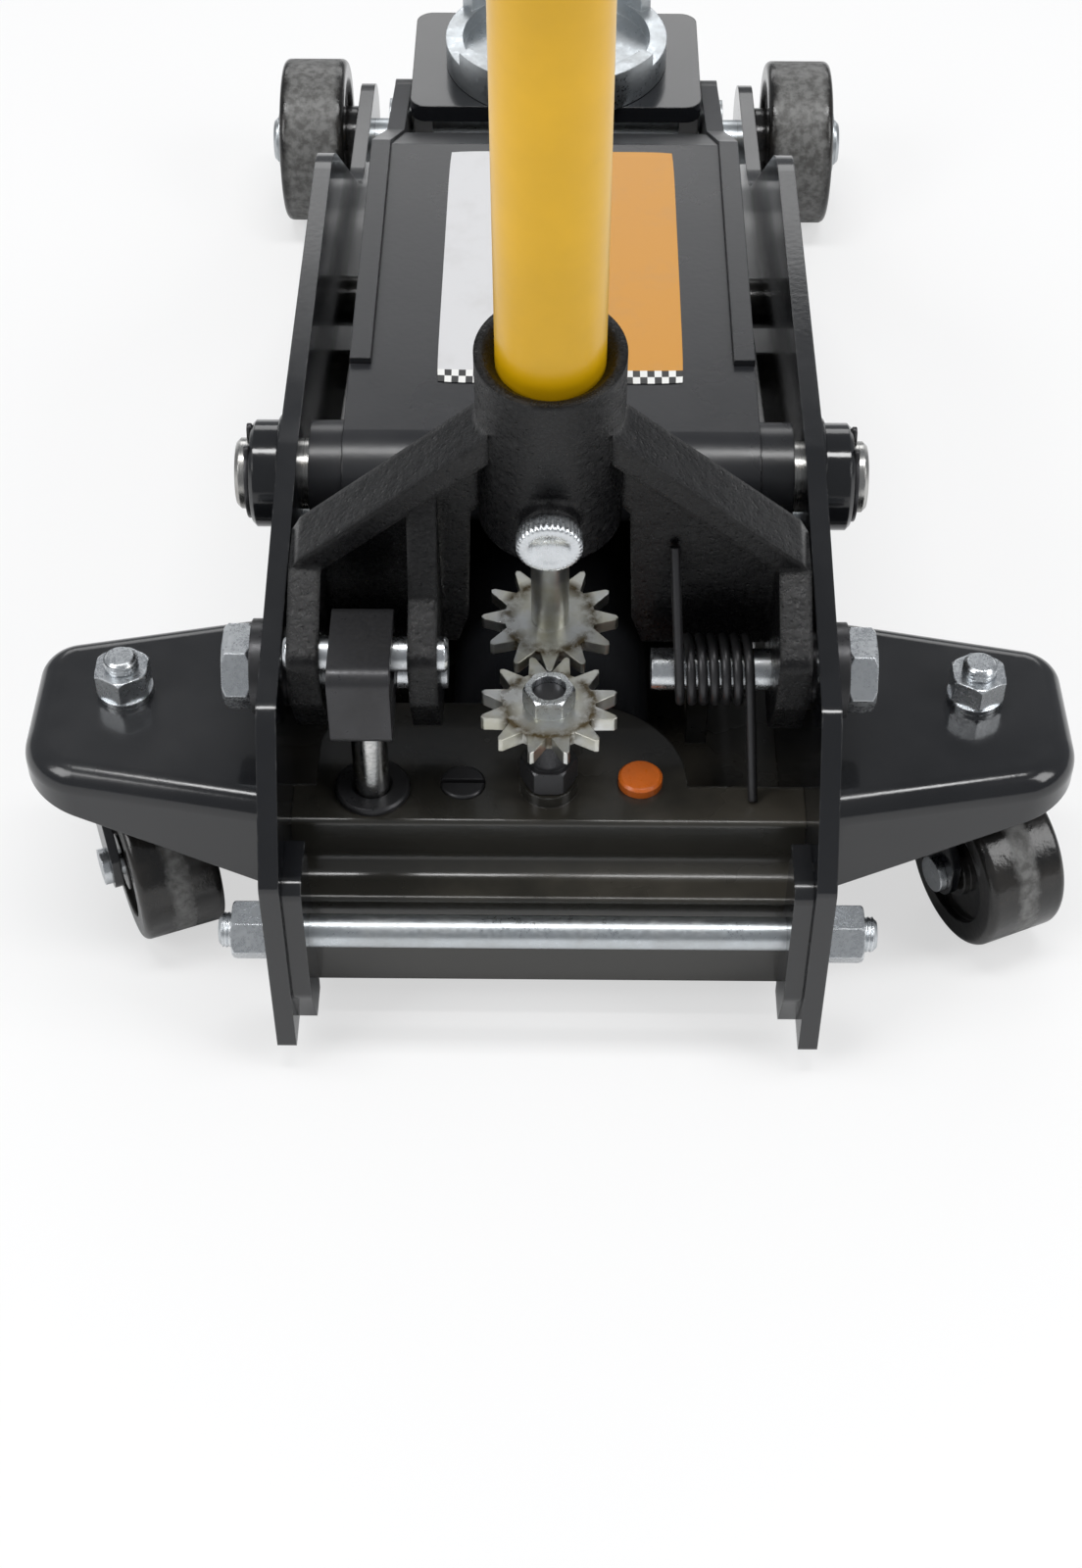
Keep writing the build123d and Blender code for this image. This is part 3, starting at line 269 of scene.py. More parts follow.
class NodeBoard:
    """Short-hand for the nodes of one material."""

    def __init__(self, name: str) -> None:
        """Make an empty material with its principled shader."""
        self.material = bpy.data.materials.new(name)
        self.material.use_nodes = True
        self.tree = self.material.node_tree
        self.shader = self.tree.nodes["Principled BSDF"]
        self._coordinates: Socket | None = None

    def node(self, kind: str, **settings: object) -> bpy.types.Node:
        """Add a node and set its own settings."""
        made = self.tree.nodes.new(kind)
        for key, value in settings.items():
            setattr(made, key, value)
        return made

    def wire(self, value: object, socket: Socket) -> None:
        """Link a socket, or write a plain value into it."""
        if isinstance(value, Socket):
            self.tree.links.new(value, socket)
        else:
            socket.default_value = value

    @property
    def place(self) -> Socket:
        """Object coordinates, in metres."""
        if self._coordinates is None:
            self._coordinates = self.node("ShaderNodeTexCoord").outputs["Object"]
        return self._coordinates

    def stretch(self, scale: Sequence[float], turn: Sequence[float] = (0, 0, 0)) -> Socket:
        """Object coordinates turned and then scaled."""
        made = self.node("ShaderNodeMapping")
        self.wire(self.place, made.inputs["Vector"])
        made.inputs["Rotation"].default_value = turn
        made.inputs["Scale"].default_value = scale
        return made.outputs["Vector"]

    def noise(
        self, scale: float, detail: float = 4, rough: float = 0.55, where: object = None,
    ) -> Socket:
        """Fractal noise between about 0.3 and 0.7."""
        made = self.node("ShaderNodeTexNoise")
        self.wire(where or self.place, made.inputs["Vector"])
        made.inputs["Scale"].default_value = scale
        made.inputs["Detail"].default_value = detail
        made.inputs["Roughness"].default_value = rough
        return made.outputs[0]

    def cells(self, scale: float, where: object = None) -> Socket:
        """Distance to the nearest of scattered points."""
        made = self.node("ShaderNodeTexVoronoi")
        self.wire(where or self.place, made.inputs["Vector"])
        made.inputs["Scale"].default_value = scale
        return made.outputs["Distance"]

    def span(
        self, value: object, low: float, high: float, out_low: float, out_high: float,
    ) -> Socket:
        """Map a value from one range to another, clamped."""
        made = self.node("ShaderNodeMapRange")
        self.wire(value, made.inputs["Value"])
        keys = ("From Min", "From Max", "To Min", "To Max")
        for key, number in zip(keys, (low, high, out_low, out_high)):
            made.inputs[key].default_value = number
        return made.outputs["Result"]

    def math(self, operation: str, a: object, b: object = 0.0) -> Socket:
        """Arithmetic on two numbers."""
        made = self.node("ShaderNodeMath", operation=operation)
        self.wire(a, made.inputs[0])
        self.wire(b, made.inputs[1])
        return made.outputs[0]

    def times(self, a: object, b: object) -> Socket:
        """Product of two numbers."""
        return self.math("MULTIPLY", a, b)

    def plus(self, a: object, b: object) -> Socket:
        """Sum of two numbers."""
        return self.math("ADD", a, b)

    def minus(self, a: object, b: object) -> Socket:
        """Difference of two numbers."""
        return self.math("SUBTRACT", a, b)

    def blend(self, factor: object, a: object, b: object) -> Socket:
        """Mix two colours."""
        made = self.node("ShaderNodeMix", data_type="RGBA")
        self.wire(factor, made.inputs[0])
        for value, socket in ((a, made.inputs[6]), (b, made.inputs[7])):
            self.wire((*value, 1.0) if isinstance(value, tuple) else value, socket)
        return made.outputs[2]

    def dot(self, direction: Sequence[float], where: object = None) -> Socket:
        """Distance along a direction."""
        made = self.node("ShaderNodeVectorMath", operation="DOT_PRODUCT")
        self.wire(where or self.place, made.inputs[0])
        made.inputs[1].default_value = direction
        return made.outputs["Value"]

    def facing_up(self) -> Socket:
        """How far the surface faces the ceiling, -1 to 1."""
        normal = self.node("ShaderNodeNewGeometry").outputs["Normal"]
        return self.dot((0, 0, 1), normal)

    def edge(self, radius: float) -> tuple[Socket, Socket]:
        """Rounded normal near edges, and a mask that is 1 on them.

        Args:
            radius: how far the rounding reaches, in metres.

        Returns:
            The rounded normal and the mask.
        """
        bevel = self.node("ShaderNodeBevel", samples=4)
        bevel.inputs["Radius"].default_value = radius
        flat = self.node("ShaderNodeNewGeometry").outputs["Normal"]
        same = self.node("ShaderNodeVectorMath", operation="DOT_PRODUCT")
        self.wire(bevel.outputs["Normal"], same.inputs[0])
        self.wire(flat, same.inputs[1])
        return bevel.outputs["Normal"], self.span(same.outputs["Value"], 0.97, 0.8, 0.0, 1.0)

    def bump(
        self, height: object, distance: float, strength: float, normal: object = None,
    ) -> Socket:
        """Normal from a height."""
        made = self.node("ShaderNodeBump")
        self.wire(height, made.inputs["Height"])
        made.inputs["Distance"].default_value = distance
        made.inputs["Strength"].default_value = strength
        if normal is not None:
            self.wire(normal, made.inputs["Normal"])
        return made.outputs["Normal"]

    def finish(
        self, colour: object, rough: object, metal: object, normal: object, **extra: float,
    ) -> Material:
        """Wire the shader.

        Args:
            colour: base colour or socket.
            rough: roughness or socket.
            metal: metallic or socket.
            normal: normal socket or None.
            **extra: further shader sockets by name with spaces written as underscores.

        Returns:
            The material.
        """
        s = self.shader.inputs
        self.wire((*colour, 1.0) if isinstance(colour, tuple) else colour, s["Base Color"])
        self.wire(rough, s["Roughness"])
        self.wire(metal, s["Metallic"])
        if normal is not None:
            self.wire(normal, s["Normal"])
        for key, value in extra.items():
            s[key.replace("_", " ")].default_value = value
        return self.material


@dataclass(frozen=True)
class PaintFinish:
    """Sprayed paint with orange peel, dust and a painted sheen on top faces, and wear with a painted
    highlight along edges.
    """

    name: str
    colour: Colour
    # Colour and amount of dust on top faces; the same colour also paints the sheen of the bright
    # surroundings there.
    dust_and_sheen_colour: Colour = (0.10, 0.10, 0.098)
    dust_and_sheen_amount: float = 0.10
    gloss: float = 0.13
    # Edge chips are wear and also a painted highlight along the edges.
    wear_and_edge_highlight: float = 0.45
    wear_and_edge_highlight_colour: Colour = (0.17, 0.17, 0.17)
    peel: float = 0.07
    coat: float = 0.2

    def build(self) -> Material:
        """Build the material."""
        b = NodeBoard(self.name)
        rounded, edge = b.edge(0.0009)
        patches = b.noise(9, 5, 0.6)
        fine = b.noise(160, 6, 0.65)
        # Top faces are lightened: dust, together with a painted sheen that stands for the reflection of the
        # bright surroundings.
        upward = b.span(b.facing_up(), 0.2, 1.0, 0.0, 1.0)
        dust_and_sheen_mask = b.times(upward, b.span(patches, 0.42, 0.7, 0.0, 1.0))
        dust_and_sheen_mask = b.times(dust_and_sheen_mask, self.dust_and_sheen_amount)
        # Light chips along edges: wear, and a painted edge highlight.
        chips_and_edge_highlight = b.times(edge, b.span(fine, 0.52, 0.62, 0.0, self.wear_and_edge_highlight))
        lighter = tuple(c * 1.35 for c in self.colour)
        base = b.blend(b.span(patches, 0.3, 0.7, 0.0, 1.0), self.colour, lighter)
        colour = b.blend(chips_and_edge_highlight, b.blend(dust_and_sheen_mask, base, self.dust_and_sheen_colour), self.wear_and_edge_highlight_colour)
        rough = b.span(patches, 0.3, 0.7, self.gloss - 0.03, self.gloss + 0.05)
        rough = b.plus(rough, b.times(dust_and_sheen_mask, 0.6))
        rough = b.plus(rough, b.times(chips_and_edge_highlight, 0.3))
        normal = b.bump(b.noise(420, 2, 0.5), 0.0004, self.peel, rounded)
        return b.finish(colour, rough, 0.0, normal, Coat_Weight=self.coat, Coat_Roughness=0.06)


@dataclass(frozen=True)
class CastFinish:
    """Painted sand casting: grainy skin, pits, and worn high places."""

    name: str
    colour: Colour
    worn: Colour
    grain: float = 0.5
    rounding: float = 0.003

    def build(self) -> Material:
        """Build the material."""
        b = NodeBoard(self.name)
        rounded, edge = b.edge(self.rounding)
        grain = b.noise(520, 5, 0.7)
        lumps = b.noise(75, 4, 0.6)
        pits = b.span(b.cells(310), 0.0, 0.22, 1.0, 0.0)
        patches = b.span(b.noise(28, 5, 0.65), 0.42, 0.62, 0.0, 1.0)
        speckle = b.times(b.span(grain, 0.56, 0.68, 0.0, 0.4), patches)
        rub = b.times(edge, b.span(lumps, 0.45, 0.6, 0.0, 0.3))
        colour = b.blend(speckle, self.colour, self.worn)
        colour = b.blend(rub, colour, self.worn)
        colour = b.blend(b.times(pits, 0.6), colour, tuple(c * 0.3 for c in self.colour))
        height = b.plus(b.times(grain, 0.5), b.times(lumps, 1.2))
        height = b.minus(height, b.times(pits, 0.35))
        normal = b.bump(height, 0.0011, self.grain, rounded)
        rough = b.span(grain, 0.3, 0.7, 0.17, 0.42)
        return b.finish(colour, rough, 0.0, normal, Specular_IOR_Level=0.3)


@dataclass(frozen=True)
class PlatedFinish:
    """Zinc plate: soft grey metal with stains and small dents."""

    name: str
    colour: Colour
    stain: Colour
    rough: float = 0.22
    stain_amount: float = 0.25
    metal: float = 1.0

    def build(self) -> Material:
        """Build the material."""
        b = NodeBoard(self.name)
        rounded, edge = b.edge(0.0007)
        cloud = b.span(b.noise(60, 5, 0.65), 0.38, 0.66, 0.0, 1.0)
        fine = b.noise(700, 3, 0.6)
        colour = b.blend(b.times(cloud, self.stain_amount), self.colour, self.stain)
        bare = tuple(min(c * 1.3, 0.95) for c in self.colour)
        colour = b.blend(b.times(edge, 0.25), colour, bare)
        rough = b.span(fine, 0.3, 0.7, self.rough - 0.07, self.rough + 0.09)
        rough = b.plus(rough, b.times(cloud, 0.12))
        height = b.plus(b.noise(240, 4, 0.6), b.times(fine, 0.4))
        return b.finish(colour, rough, self.metal, b.bump(height, 0.0004, 0.08, rounded))


@dataclass(frozen=True)
class DrawnSteelFinish:
    """Turned or drawn bar: streaks along or round its axis, film of oil."""

    name: str
    colour: Colour
    streak: tuple[float, float, float]
    rough: float = 0.22
    oil: float = 0.3

    def build(self) -> Material:
        """Build the material."""
        b = NodeBoard(self.name)
        rounded, _ = b.edge(0.0006)
        streak = b.noise(1.0, 4, 0.6, b.stretch(self.streak))
        film = b.span(b.noise(45, 4, 0.6), 0.45, 0.65, 0.0, self.oil)
        darker = tuple(c * 0.72 for c in self.colour)
        colour = b.blend(b.span(streak, 0.35, 0.65, 0.0, 1.0), self.colour, darker)
        colour = b.blend(film, colour, (0.10, 0.085, 0.06))
        rough = b.span(streak, 0.3, 0.7, self.rough - 0.06, self.rough + 0.1)
        rough = b.plus(rough, b.times(film, 0.2))
        return b.finish(colour, rough, 1.0, b.bump(streak, 0.0002, 0.25, rounded))


@dataclass(frozen=True)
class GreasedGearFinish:
    """Passivated steel with yellow tint on the flanks and dark grease between the teeth."""

    name: str
    axis_foot: tuple[float, float, float]
    axis: tuple[float, float, float]
    root: float
    tip: float

    def build(self) -> Material:
        """Build the material."""
        b = NodeBoard(self.name)
        rounded, edge = b.edge(0.0006)
        out = radial_distance(b, self.axis_foot, self.axis)
        inner = b.span(out, self.root, self.root + 0.35 * (self.tip - self.root), 1.0, 0.0)
        ring = b.span(out, self.root - 0.006, self.root - 0.001, 0.0, 1.0)
        smear = b.span(b.noise(170, 4), 0.4, 0.58, 0.2, 1.0)
        grease = b.times(b.times(inner, ring), smear)
        tint = b.span(b.noise(85, 4, 0.6), 0.36, 0.64, 0.0, 1.0)
        colour = b.blend(tint, (0.68, 0.69, 0.68), (0.55, 0.54, 0.46))
        colour = b.blend(b.times(edge, 0.4), colour, (0.78, 0.75, 0.66))
        colour = b.blend(grease, colour, (0.07, 0.05, 0.02))
        rough = b.plus(b.span(tint, 0.0, 1.0, 0.3, 0.42), b.times(grease, -0.1))
        normal = b.bump(b.noise(330, 4, 0.6), 0.0004, 0.3, rounded)
        return b.finish(colour, rough, b.span(grease, 0.0, 1.0, 1.0, 0.3), normal)


@dataclass(frozen=True)
class WheelFinish:
    """Painted iron wheel whose tread is worn to metal in a band."""

    name: str
    centre: tuple[float, float, float]
    axle: tuple[float, float, float]
    radius: float
    band: float
    band_shift: float

    def build(self) -> Material:
        """Build the material."""
        b = NodeBoard(self.name)
        rounded, edge = b.edge(0.0012)
        middle = float(np.dot(self.centre, self.axle)) + self.band_shift
        across = b.minus(b.dot(self.axle), middle)
        ragged = b.times(b.minus(b.noise(120, 4, 0.65), 0.5), 0.006)
        away = b.plus(b.math("ABSOLUTE", across), ragged)
        out = radial_distance(b, self.centre, self.axle)
        tread = b.span(out, self.radius - 0.0022, self.radius - 0.0008, 0.0, 1.0)
        worn = b.times(b.span(away, self.band - 0.0018, self.band + 0.0014, 1.0, 0.0), tread)
        scuff = b.times(edge, b.span(b.noise(230, 4), 0.5, 0.62, 0.0, 0.7))
        clouds = b.span(b.noise(70, 5, 0.6), 0.35, 0.65, 0.0, 1.0)
        skin = b.blend(clouds, (0.009, 0.009, 0.009), (0.022, 0.020, 0.018))
        grit = b.span(b.noise(260, 4, 0.6), 0.38, 0.62, 0.0, 1.0)
        bare = b.blend(grit, (0.17, 0.17, 0.165), (0.08, 0.078, 0.075))
        colour = b.blend(b.math("MAXIMUM", worn, scuff), skin, bare)
        metal = b.times(b.math("MAXIMUM", worn, scuff), 0.15)
        normal = b.bump(b.noise(350, 4, 0.6), 0.0005, 0.25, rounded)
        return b.finish(colour, b.span(worn, 0.0, 1.0, 0.16, 0.5), metal, normal)


@dataclass(frozen=True)
class MouldedFinish:
    """Moulded plastic or rubber with a fine skin."""

    name: str
    colour: Colour
    rough: float
    grain: float
    scale: float

    def build(self) -> Material:
        """Build the material."""
        b = NodeBoard(self.name)
        rounded, _ = b.edge(0.0006)
        skin = b.noise(self.scale, 3, 0.6)
        darker = tuple(c * 0.7 for c in self.colour)
        colour = b.blend(b.span(b.noise(50, 4), 0.35, 0.65, 0.0, 1.0), self.colour, darker)
        rough = b.span(skin, 0.3, 0.7, self.rough - 0.06, self.rough + 0.08)
        return b.finish(colour, rough, 0.0, b.bump(skin, 0.0004, self.grain, rounded))


@dataclass(frozen=True)
class LabelFinish:
    """Plain printed film: pale on the left, amber on the right, a checker band at its rear edge."""

    name: str
    pale: Colour = (0.56, 0.56, 0.57)
    amber: Colour = (0.52, 0.235, 0.025)

    def build(self) -> Material:
        """Build the material."""
        b = NodeBoard(self.name)
        uv = b.node("ShaderNodeUVMap").outputs["UV"]
        split = b.node("ShaderNodeSeparateXYZ")
        b.wire(uv, split.inputs[0])
        u, v = split.outputs[0], split.outputs[1]
        checker = b.node("ShaderNodeTexChecker")
        stretched = b.node("ShaderNodeMapping")
        b.wire(uv, stretched.inputs["Vector"])
        stretched.inputs["Scale"].default_value = (34, 40, 1)
        b.wire(stretched.outputs["Vector"], checker.inputs["Vector"])
        checker.inputs["Scale"].default_value = 1.0
        checker.inputs["Color1"].default_value = (0.02, 0.02, 0.02, 1)
        checker.inputs["Color2"].default_value = (0.72, 0.72, 0.70, 1)
        ground = b.blend(b.math("GREATER_THAN", u, 0.5), self.pale, self.amber)
        band = b.math("GREATER_THAN", v, 0.95)
        colour = b.blend(band, ground, checker.outputs["Color"])
        dirt = b.span(b.noise(70, 5, 0.6), 0.5, 0.75, 0.0, 0.12)
        colour = b.blend(dirt, colour, (0.2, 0.18, 0.15))
        return b.finish(colour, 0.35, 0.0, b.bump(b.noise(200, 3), 0.0002, 0.1))


def radial_distance(b: NodeBoard, foot: Sequence[float], axis: Sequence[float]) -> Socket:
    """Distance from an axis: the length of the cross product of (place - foot) with the unit axis.

    Args:
        b: the material's board.
        foot: a point on the axis.
        axis: its unit direction.

    Returns:
        The distance in metres.
    """
    away = b.node("ShaderNodeVectorMath", operation="SUBTRACT")
    b.wire(b.place, away.inputs[0])
    away.inputs[1].default_value = foot
    cross = b.node("ShaderNodeVectorMath", operation="CROSS_PRODUCT")
    b.wire(away.outputs["Vector"], cross.inputs[0])
    cross.inputs[1].default_value = axis
    length = b.node("ShaderNodeVectorMath", operation="LENGTH")
    b.wire(cross.outputs["Vector"], length.inputs[0])
    return length.outputs["Value"]


def dress(obj: Object, material: Material) -> None:
    """Give an object one material."""
    obj.data.materials.clear()
    obj.data.materials.append(material)


# ------------------------------------------------------------------ the jack's axes


LEAN = math.radians(8.5)
PIVOT = np.array([0.0, TAIL_Y + 0.0803, 0.1292])
FORWARD = np.array([0.0, math.cos(LEAN), math.sin(LEAN)])
UPWARD = np.array([0.0, -math.sin(LEAN), math.cos(LEAN)])
HANDLE_FOOT = PIVOT + 0.021 * FORWARD
VALVE_FOOT = (0.0, float(PIVOT[1]) - 0.021, 0.12)
SHAFT = (0.0, TAIL_Y + 0.169, 0.144)
WING_TOP = 0.095
GEAR_ROOT = 0.0163
GEAR_TIP = 0.0245
PLATE_OUT = 0.099


class Side(Enum):
    """Left or right, seen from the handle."""

    LEFT = -1
    RIGHT = 1

    @property
    def word(self) -> str:
        """Lower-case name."""
        return self.name.lower()


CASTER_TURN = {Side.LEFT: math.radians(22), Side.RIGHT: math.radians(24)}


# ------------------------------------------------------------------ sub-assemblies


@dataclass
class Casters:
    """Swivel casters: threads on the studs, pressed races, worn wheels."""

    stud_x: float = 0.1575
    stud_y: float = TAIL_Y + 0.102
    stud_radius: float = 0.006
    race_radius: float = 0.0172
    race_top: float = 0.091
    race_bottom: float = 0.0793
    nut_top: float = 0.1078
    thread_top: float = 0.1118
    wheel_radius: float = 0.0315
    trail: float = 0.0245

    def wheel_centre(self, side: Side) -> tuple[float, float, float]:
        """Middle of one wheel at rest."""
        t = CASTER_TURN[side]
        x = side.value * self.stud_x + self.trail * math.sin(t)
        return (x, self.stud_y - self.trail * math.cos(t), self.wheel_radius)

    def build(
        self, nodes: dict[str, Object], zinc: Material, black: Material,
    ) -> list[Object]:
        """Make the pieces and dress the CAD wheels.

        Args:
            nodes: CAD objects by name.
            zinc: plated finish of the threads.
            black: paint of the races.

        Returns:
            The new objects.
        """
        made = []
        for side in Side:
            foot = (side.value * self.stud_x, self.stud_y, 0.0)
            r, top, low = self.race_radius, self.race_top, self.race_bottom
            mid = (top + low) / 2
            profile = [
                (0.0062, low), (0.0145, low), (r, low + 0.0028), (r, mid - 0.0011),
                (r - 0.0022, mid - 0.0008), (r - 0.0022, mid + 0.0008), (r, mid + 0.0011),
                (r + 0.0006, top - 0.002), (r - 0.001, top), (0.0062, top),
            ]
            upright = Frame3(foot, (0, 0, 1))
            race = turned(f"caster_race_{side.word}", upright, round_profile(profile, 0.0012))
            dress(race, black)
            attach(race, "frame")
            made.append(race)
            made.append(thread_sleeve(
                f"stud_thread_{side.word}", upright, self.stud_radius, self.nut_top, self.thread_top, zinc,
            ))
            t = CASTER_TURN[side]
            band = WheelFinish(
                f"caster_tread_{side.word}", self.wheel_centre(side), (math.cos(t), math.sin(t), 0.0),
                self.wheel_radius, 0.0038, 0.0,
            )
            dress(nodes[f"caster_wheel_{side.word}"], band.build())
        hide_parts("caster_races")
        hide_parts("caster_races")
        return made


def thread_sleeve(
    name: str, frame: Frame3, radius: float, low: float, high: float, material: Material,
) -> Object:
    """Screw thread on a rod's free end.

    The radius is the rod's plus a triangle wave of (height / pitch + angle / turn), so the
    ridge climbs one pitch for each turn.

    Args:
        name: object name.
        frame: the rod's axis.
        radius: rod radius.
        low: lower end along the axis.
        high: upper end along the axis.
        material: finish.

    Returns:
        The new object, riding on the frame.
    """
    pitch, depth = 0.0015, 0.0005
    rows = max(12, int(round((high - low) / pitch * 10)))
    height = np.linspace(low, high, rows)
    angle = np.linspace(0, TURN, 40, endpoint=False)
    h, a = np.meshgrid(height, angle, indexing="ij")
    phase = (h / pitch + a / TURN) % 1.0
    r = radius + 0.00012 + depth * (1 - np.abs(2 * phase - 1)) - depth * 0.4
    obj = surface_object(name, frame.place(r, a, h), close_columns=True, cap_rows=True)
    dress(obj, material)
    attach(obj, "frame")
    return obj


@dataclass
class ThumbScrew:
    """Knurled screw that clamps the handle in its socket."""

    height: float = 0.0835
    face: float = -0.0089
    thickness: float = 0.0074
    radius: float = 0.011
    shank: float = 0.004
    reach: float = 0.0115
    ridges: int = 36

    def build(self, material: Material) -> Object:
        """Make the screw.

        The head's radius is R + k |sin(n a / 2)| on the rim and falls to nothing at the
        chamfers; the shank is a plain smaller radius on the same grid.

        Args:
            material: finish.

        Returns:
            The new object.
        """
        foot = PIVOT + self.height * UPWARD + self.face * FORWARD
        frame = Frame3(tuple(foot), tuple(-FORWARD))
        t, big, small = self.thickness, self.radius, self.shank
        rim = big - 0.0004
        rows = [
            (0.0001, -self.reach), (small - 0.0006, -self.reach), (small, -self.reach + 0.0006),
            (small, 0.0), (big - 0.0011, 0.0), (rim, 0.0006), (rim, 0.002), (rim, t / 2),
            (rim, t - 0.002), (rim, t - 0.0006), (big - 0.0011, t), (0.0068, t),
            (0.0062, t - 0.0006), (0.0001, t - 0.0006),
        ]
        ridge = np.array([0, 0, 0, 0, 0, 0.4, 1, 1, 1, 0.4, 0, 0, 0, 0]) * 0.0005
        loop = np.array(rows)
        angle = np.linspace(0, TURN, self.ridges * 8, endpoint=False)
        r, a = np.meshgrid(loop[:, 0], angle, indexing="ij")
        h, _ = np.meshgrid(loop[:, 1], angle, indexing="ij")
        r = r + ridge[:, None] * (np.abs(np.sin(self.ridges * a / 2)) * 2 - 1.0)
        obj = surface_object("knurled_screw", frame.place(r, a, h), close_columns=True, cap_rows=True)
        dress(obj, material)
        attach(obj, "thumb_screw")
        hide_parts("thumb_screw")
        return obj


@dataclass
class RubberGrip:
    """Ribbed grip on the upper tube."""

    foot: float = 0.938
    top: float = 1.088
    radius: float = 0.02045
    bore: float = 0.0178
    ribs: int = 22

    def build(self, material: Material) -> Object:
        """Make the grip.

        The outer radius is R less a groove that repeats along the grip, flat-topped because
        the cosine is raised to the fourth power; the two ends have plain collars.

        Args:
            material: finish.

        Returns:
            The new object.
        """
        height = np.linspace(self.foot, self.top, self.ribs * 12)
        share = (height - self.foot) / (self.top - self.foot)
        groove = np.cos(math.pi * share * self.ribs) ** 4 * 0.0011
        groove *= (share > 0.08) & (share < 0.93)
        outer = np.stack([self.radius - groove, height], 1)
        outer[0, 0] -= 0.0008
        outer[-1, 0] -= 0.0004
        loop = np.vstack([[(self.bore, self.foot)], outer, [(self.bore, self.top)]])
        obj = turned("ribbed_grip", Frame3(tuple(HANDLE_FOOT), tuple(UPWARD)), [tuple(p) for p in loop], 72)
        dress(obj, material)
        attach(obj, "handle")
        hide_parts("handle_grip")
        return obj


@dataclass
class Welds:
    """Beads round the shaft bosses and along the outriggers' roots."""

    boss_radius: float = 0.0203
    bead_radius: float = 0.0019
    wing_rear: float = TAIL_Y + 0.0470
    wing_front: float = TAIL_Y + 0.1455
    wing_low: float = WING_TOP - 0.040

    def build(self, material: Material) -> list[Object]:
        """Lay every bead.

        Args:
            material: paint over the welds.

        Returns:
            The new objects.
        """
        made = []
        for side in Side:
            x = side.value * (PLATE_OUT + 0.0004)
            angle = np.linspace(0, TURN, 220, endpoint=False)
            ring_y = SHAFT[1] + self.boss_radius * np.cos(angle)
            ring_z = SHAFT[2] + self.boss_radius * np.sin(angle)
            ring = np.stack([np.full_like(angle, x), ring_y, ring_z], 1)
            normal = np.array([1.0, 0, 0])
            name = f"boss_weld_{side.word}"
            made.append(bead(name, ring, normal, self.bead_radius, True, 5 + side.value))
            y = np.linspace(self.wing_rear + 0.004, self.wing_front - 0.004, 240)
            seam = np.stack([np.full_like(y, x), y, np.full_like(y, WING_TOP - 0.0004)], 1)
            normal = np.array([1.0, 0, 0.3])
            name = f"wing_weld_{side.word}"
            made.append(bead(name, seam, normal, self.bead_radius, False, 11 + side.value))
            for end, y_end, seed in (("rear", TAIL_Y + 0.0440, 17), ("front", TAIL_Y + 0.1486, 23)):
                z = np.linspace(WING_TOP - 0.010, self.wing_low, 90)
                seam = np.stack([np.full_like(z, x), np.full_like(z, y_end), z], 1)
                name = f"wing_weld_{end}_{side.word}"
                normal = np.array([1.0, 0.2, 0])
                made.append(bead(name, seam, normal, self.bead_radius * 0.85, False, seed + side.value))
        for obj in made:
            dress(obj, material)
            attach(obj, "frame")
        return made


@dataclass
class SnapRings:
    """Open retaining rings with two eyes, on the ends of the cross shaft."""

    inner: float = 0.01335
    outer: float = 0.01675
    start: float = 0.1116
    thickness: float = 0.002
    gap: float = math.radians(34)

    def build(self, material: Material) -> list[Object]:
        """Make both rings.

        A rounded rectangle is carried round an arc; it grows wider towards its two ends, so
        the ends form the eyes: w(a) = w0 + e exp(-(distance to the end / 6 degrees) squared).

        Args:
            material: finish.

        Returns:
            The new objects.
        """
        made = []
        for side in Side:
            angle = np.linspace(self.gap / 2, TURN - self.gap / 2, 150) + math.pi / 2
            near_end = np.minimum(angle - angle[0], angle[-1] - angle)
            eye = 0.0026 * np.exp(-((near_end - math.radians(5)) / math.radians(7)) ** 2)
            outer = self.outer + eye
            corner = np.array([[0, 0], [1, 0], [1, 1], [0, 1]], float)
            section = np.array(round_profile([tuple(c) for c in corner], 0.18, 3))
            r = self.inner + section[None, :, 0] * (outer - self.inner)[:, None]
            h = np.broadcast_to(section[None, :, 1] * self.thickness, r.shape)
            a = np.broadcast_to(angle[:, None], r.shape)
            frame = Frame3((side.value * self.start, SHAFT[1], SHAFT[2]), (side.value, 0, 0))
            name = f"shaft_snap_ring_{side.word}"
            obj = surface_object(name, frame.place(r, a, h), close_columns=True, cap_rows=True)
            dress(obj, material)
            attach(obj, "frame")
            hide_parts("lift_shaft_rings")
            made.append(obj)
        return made


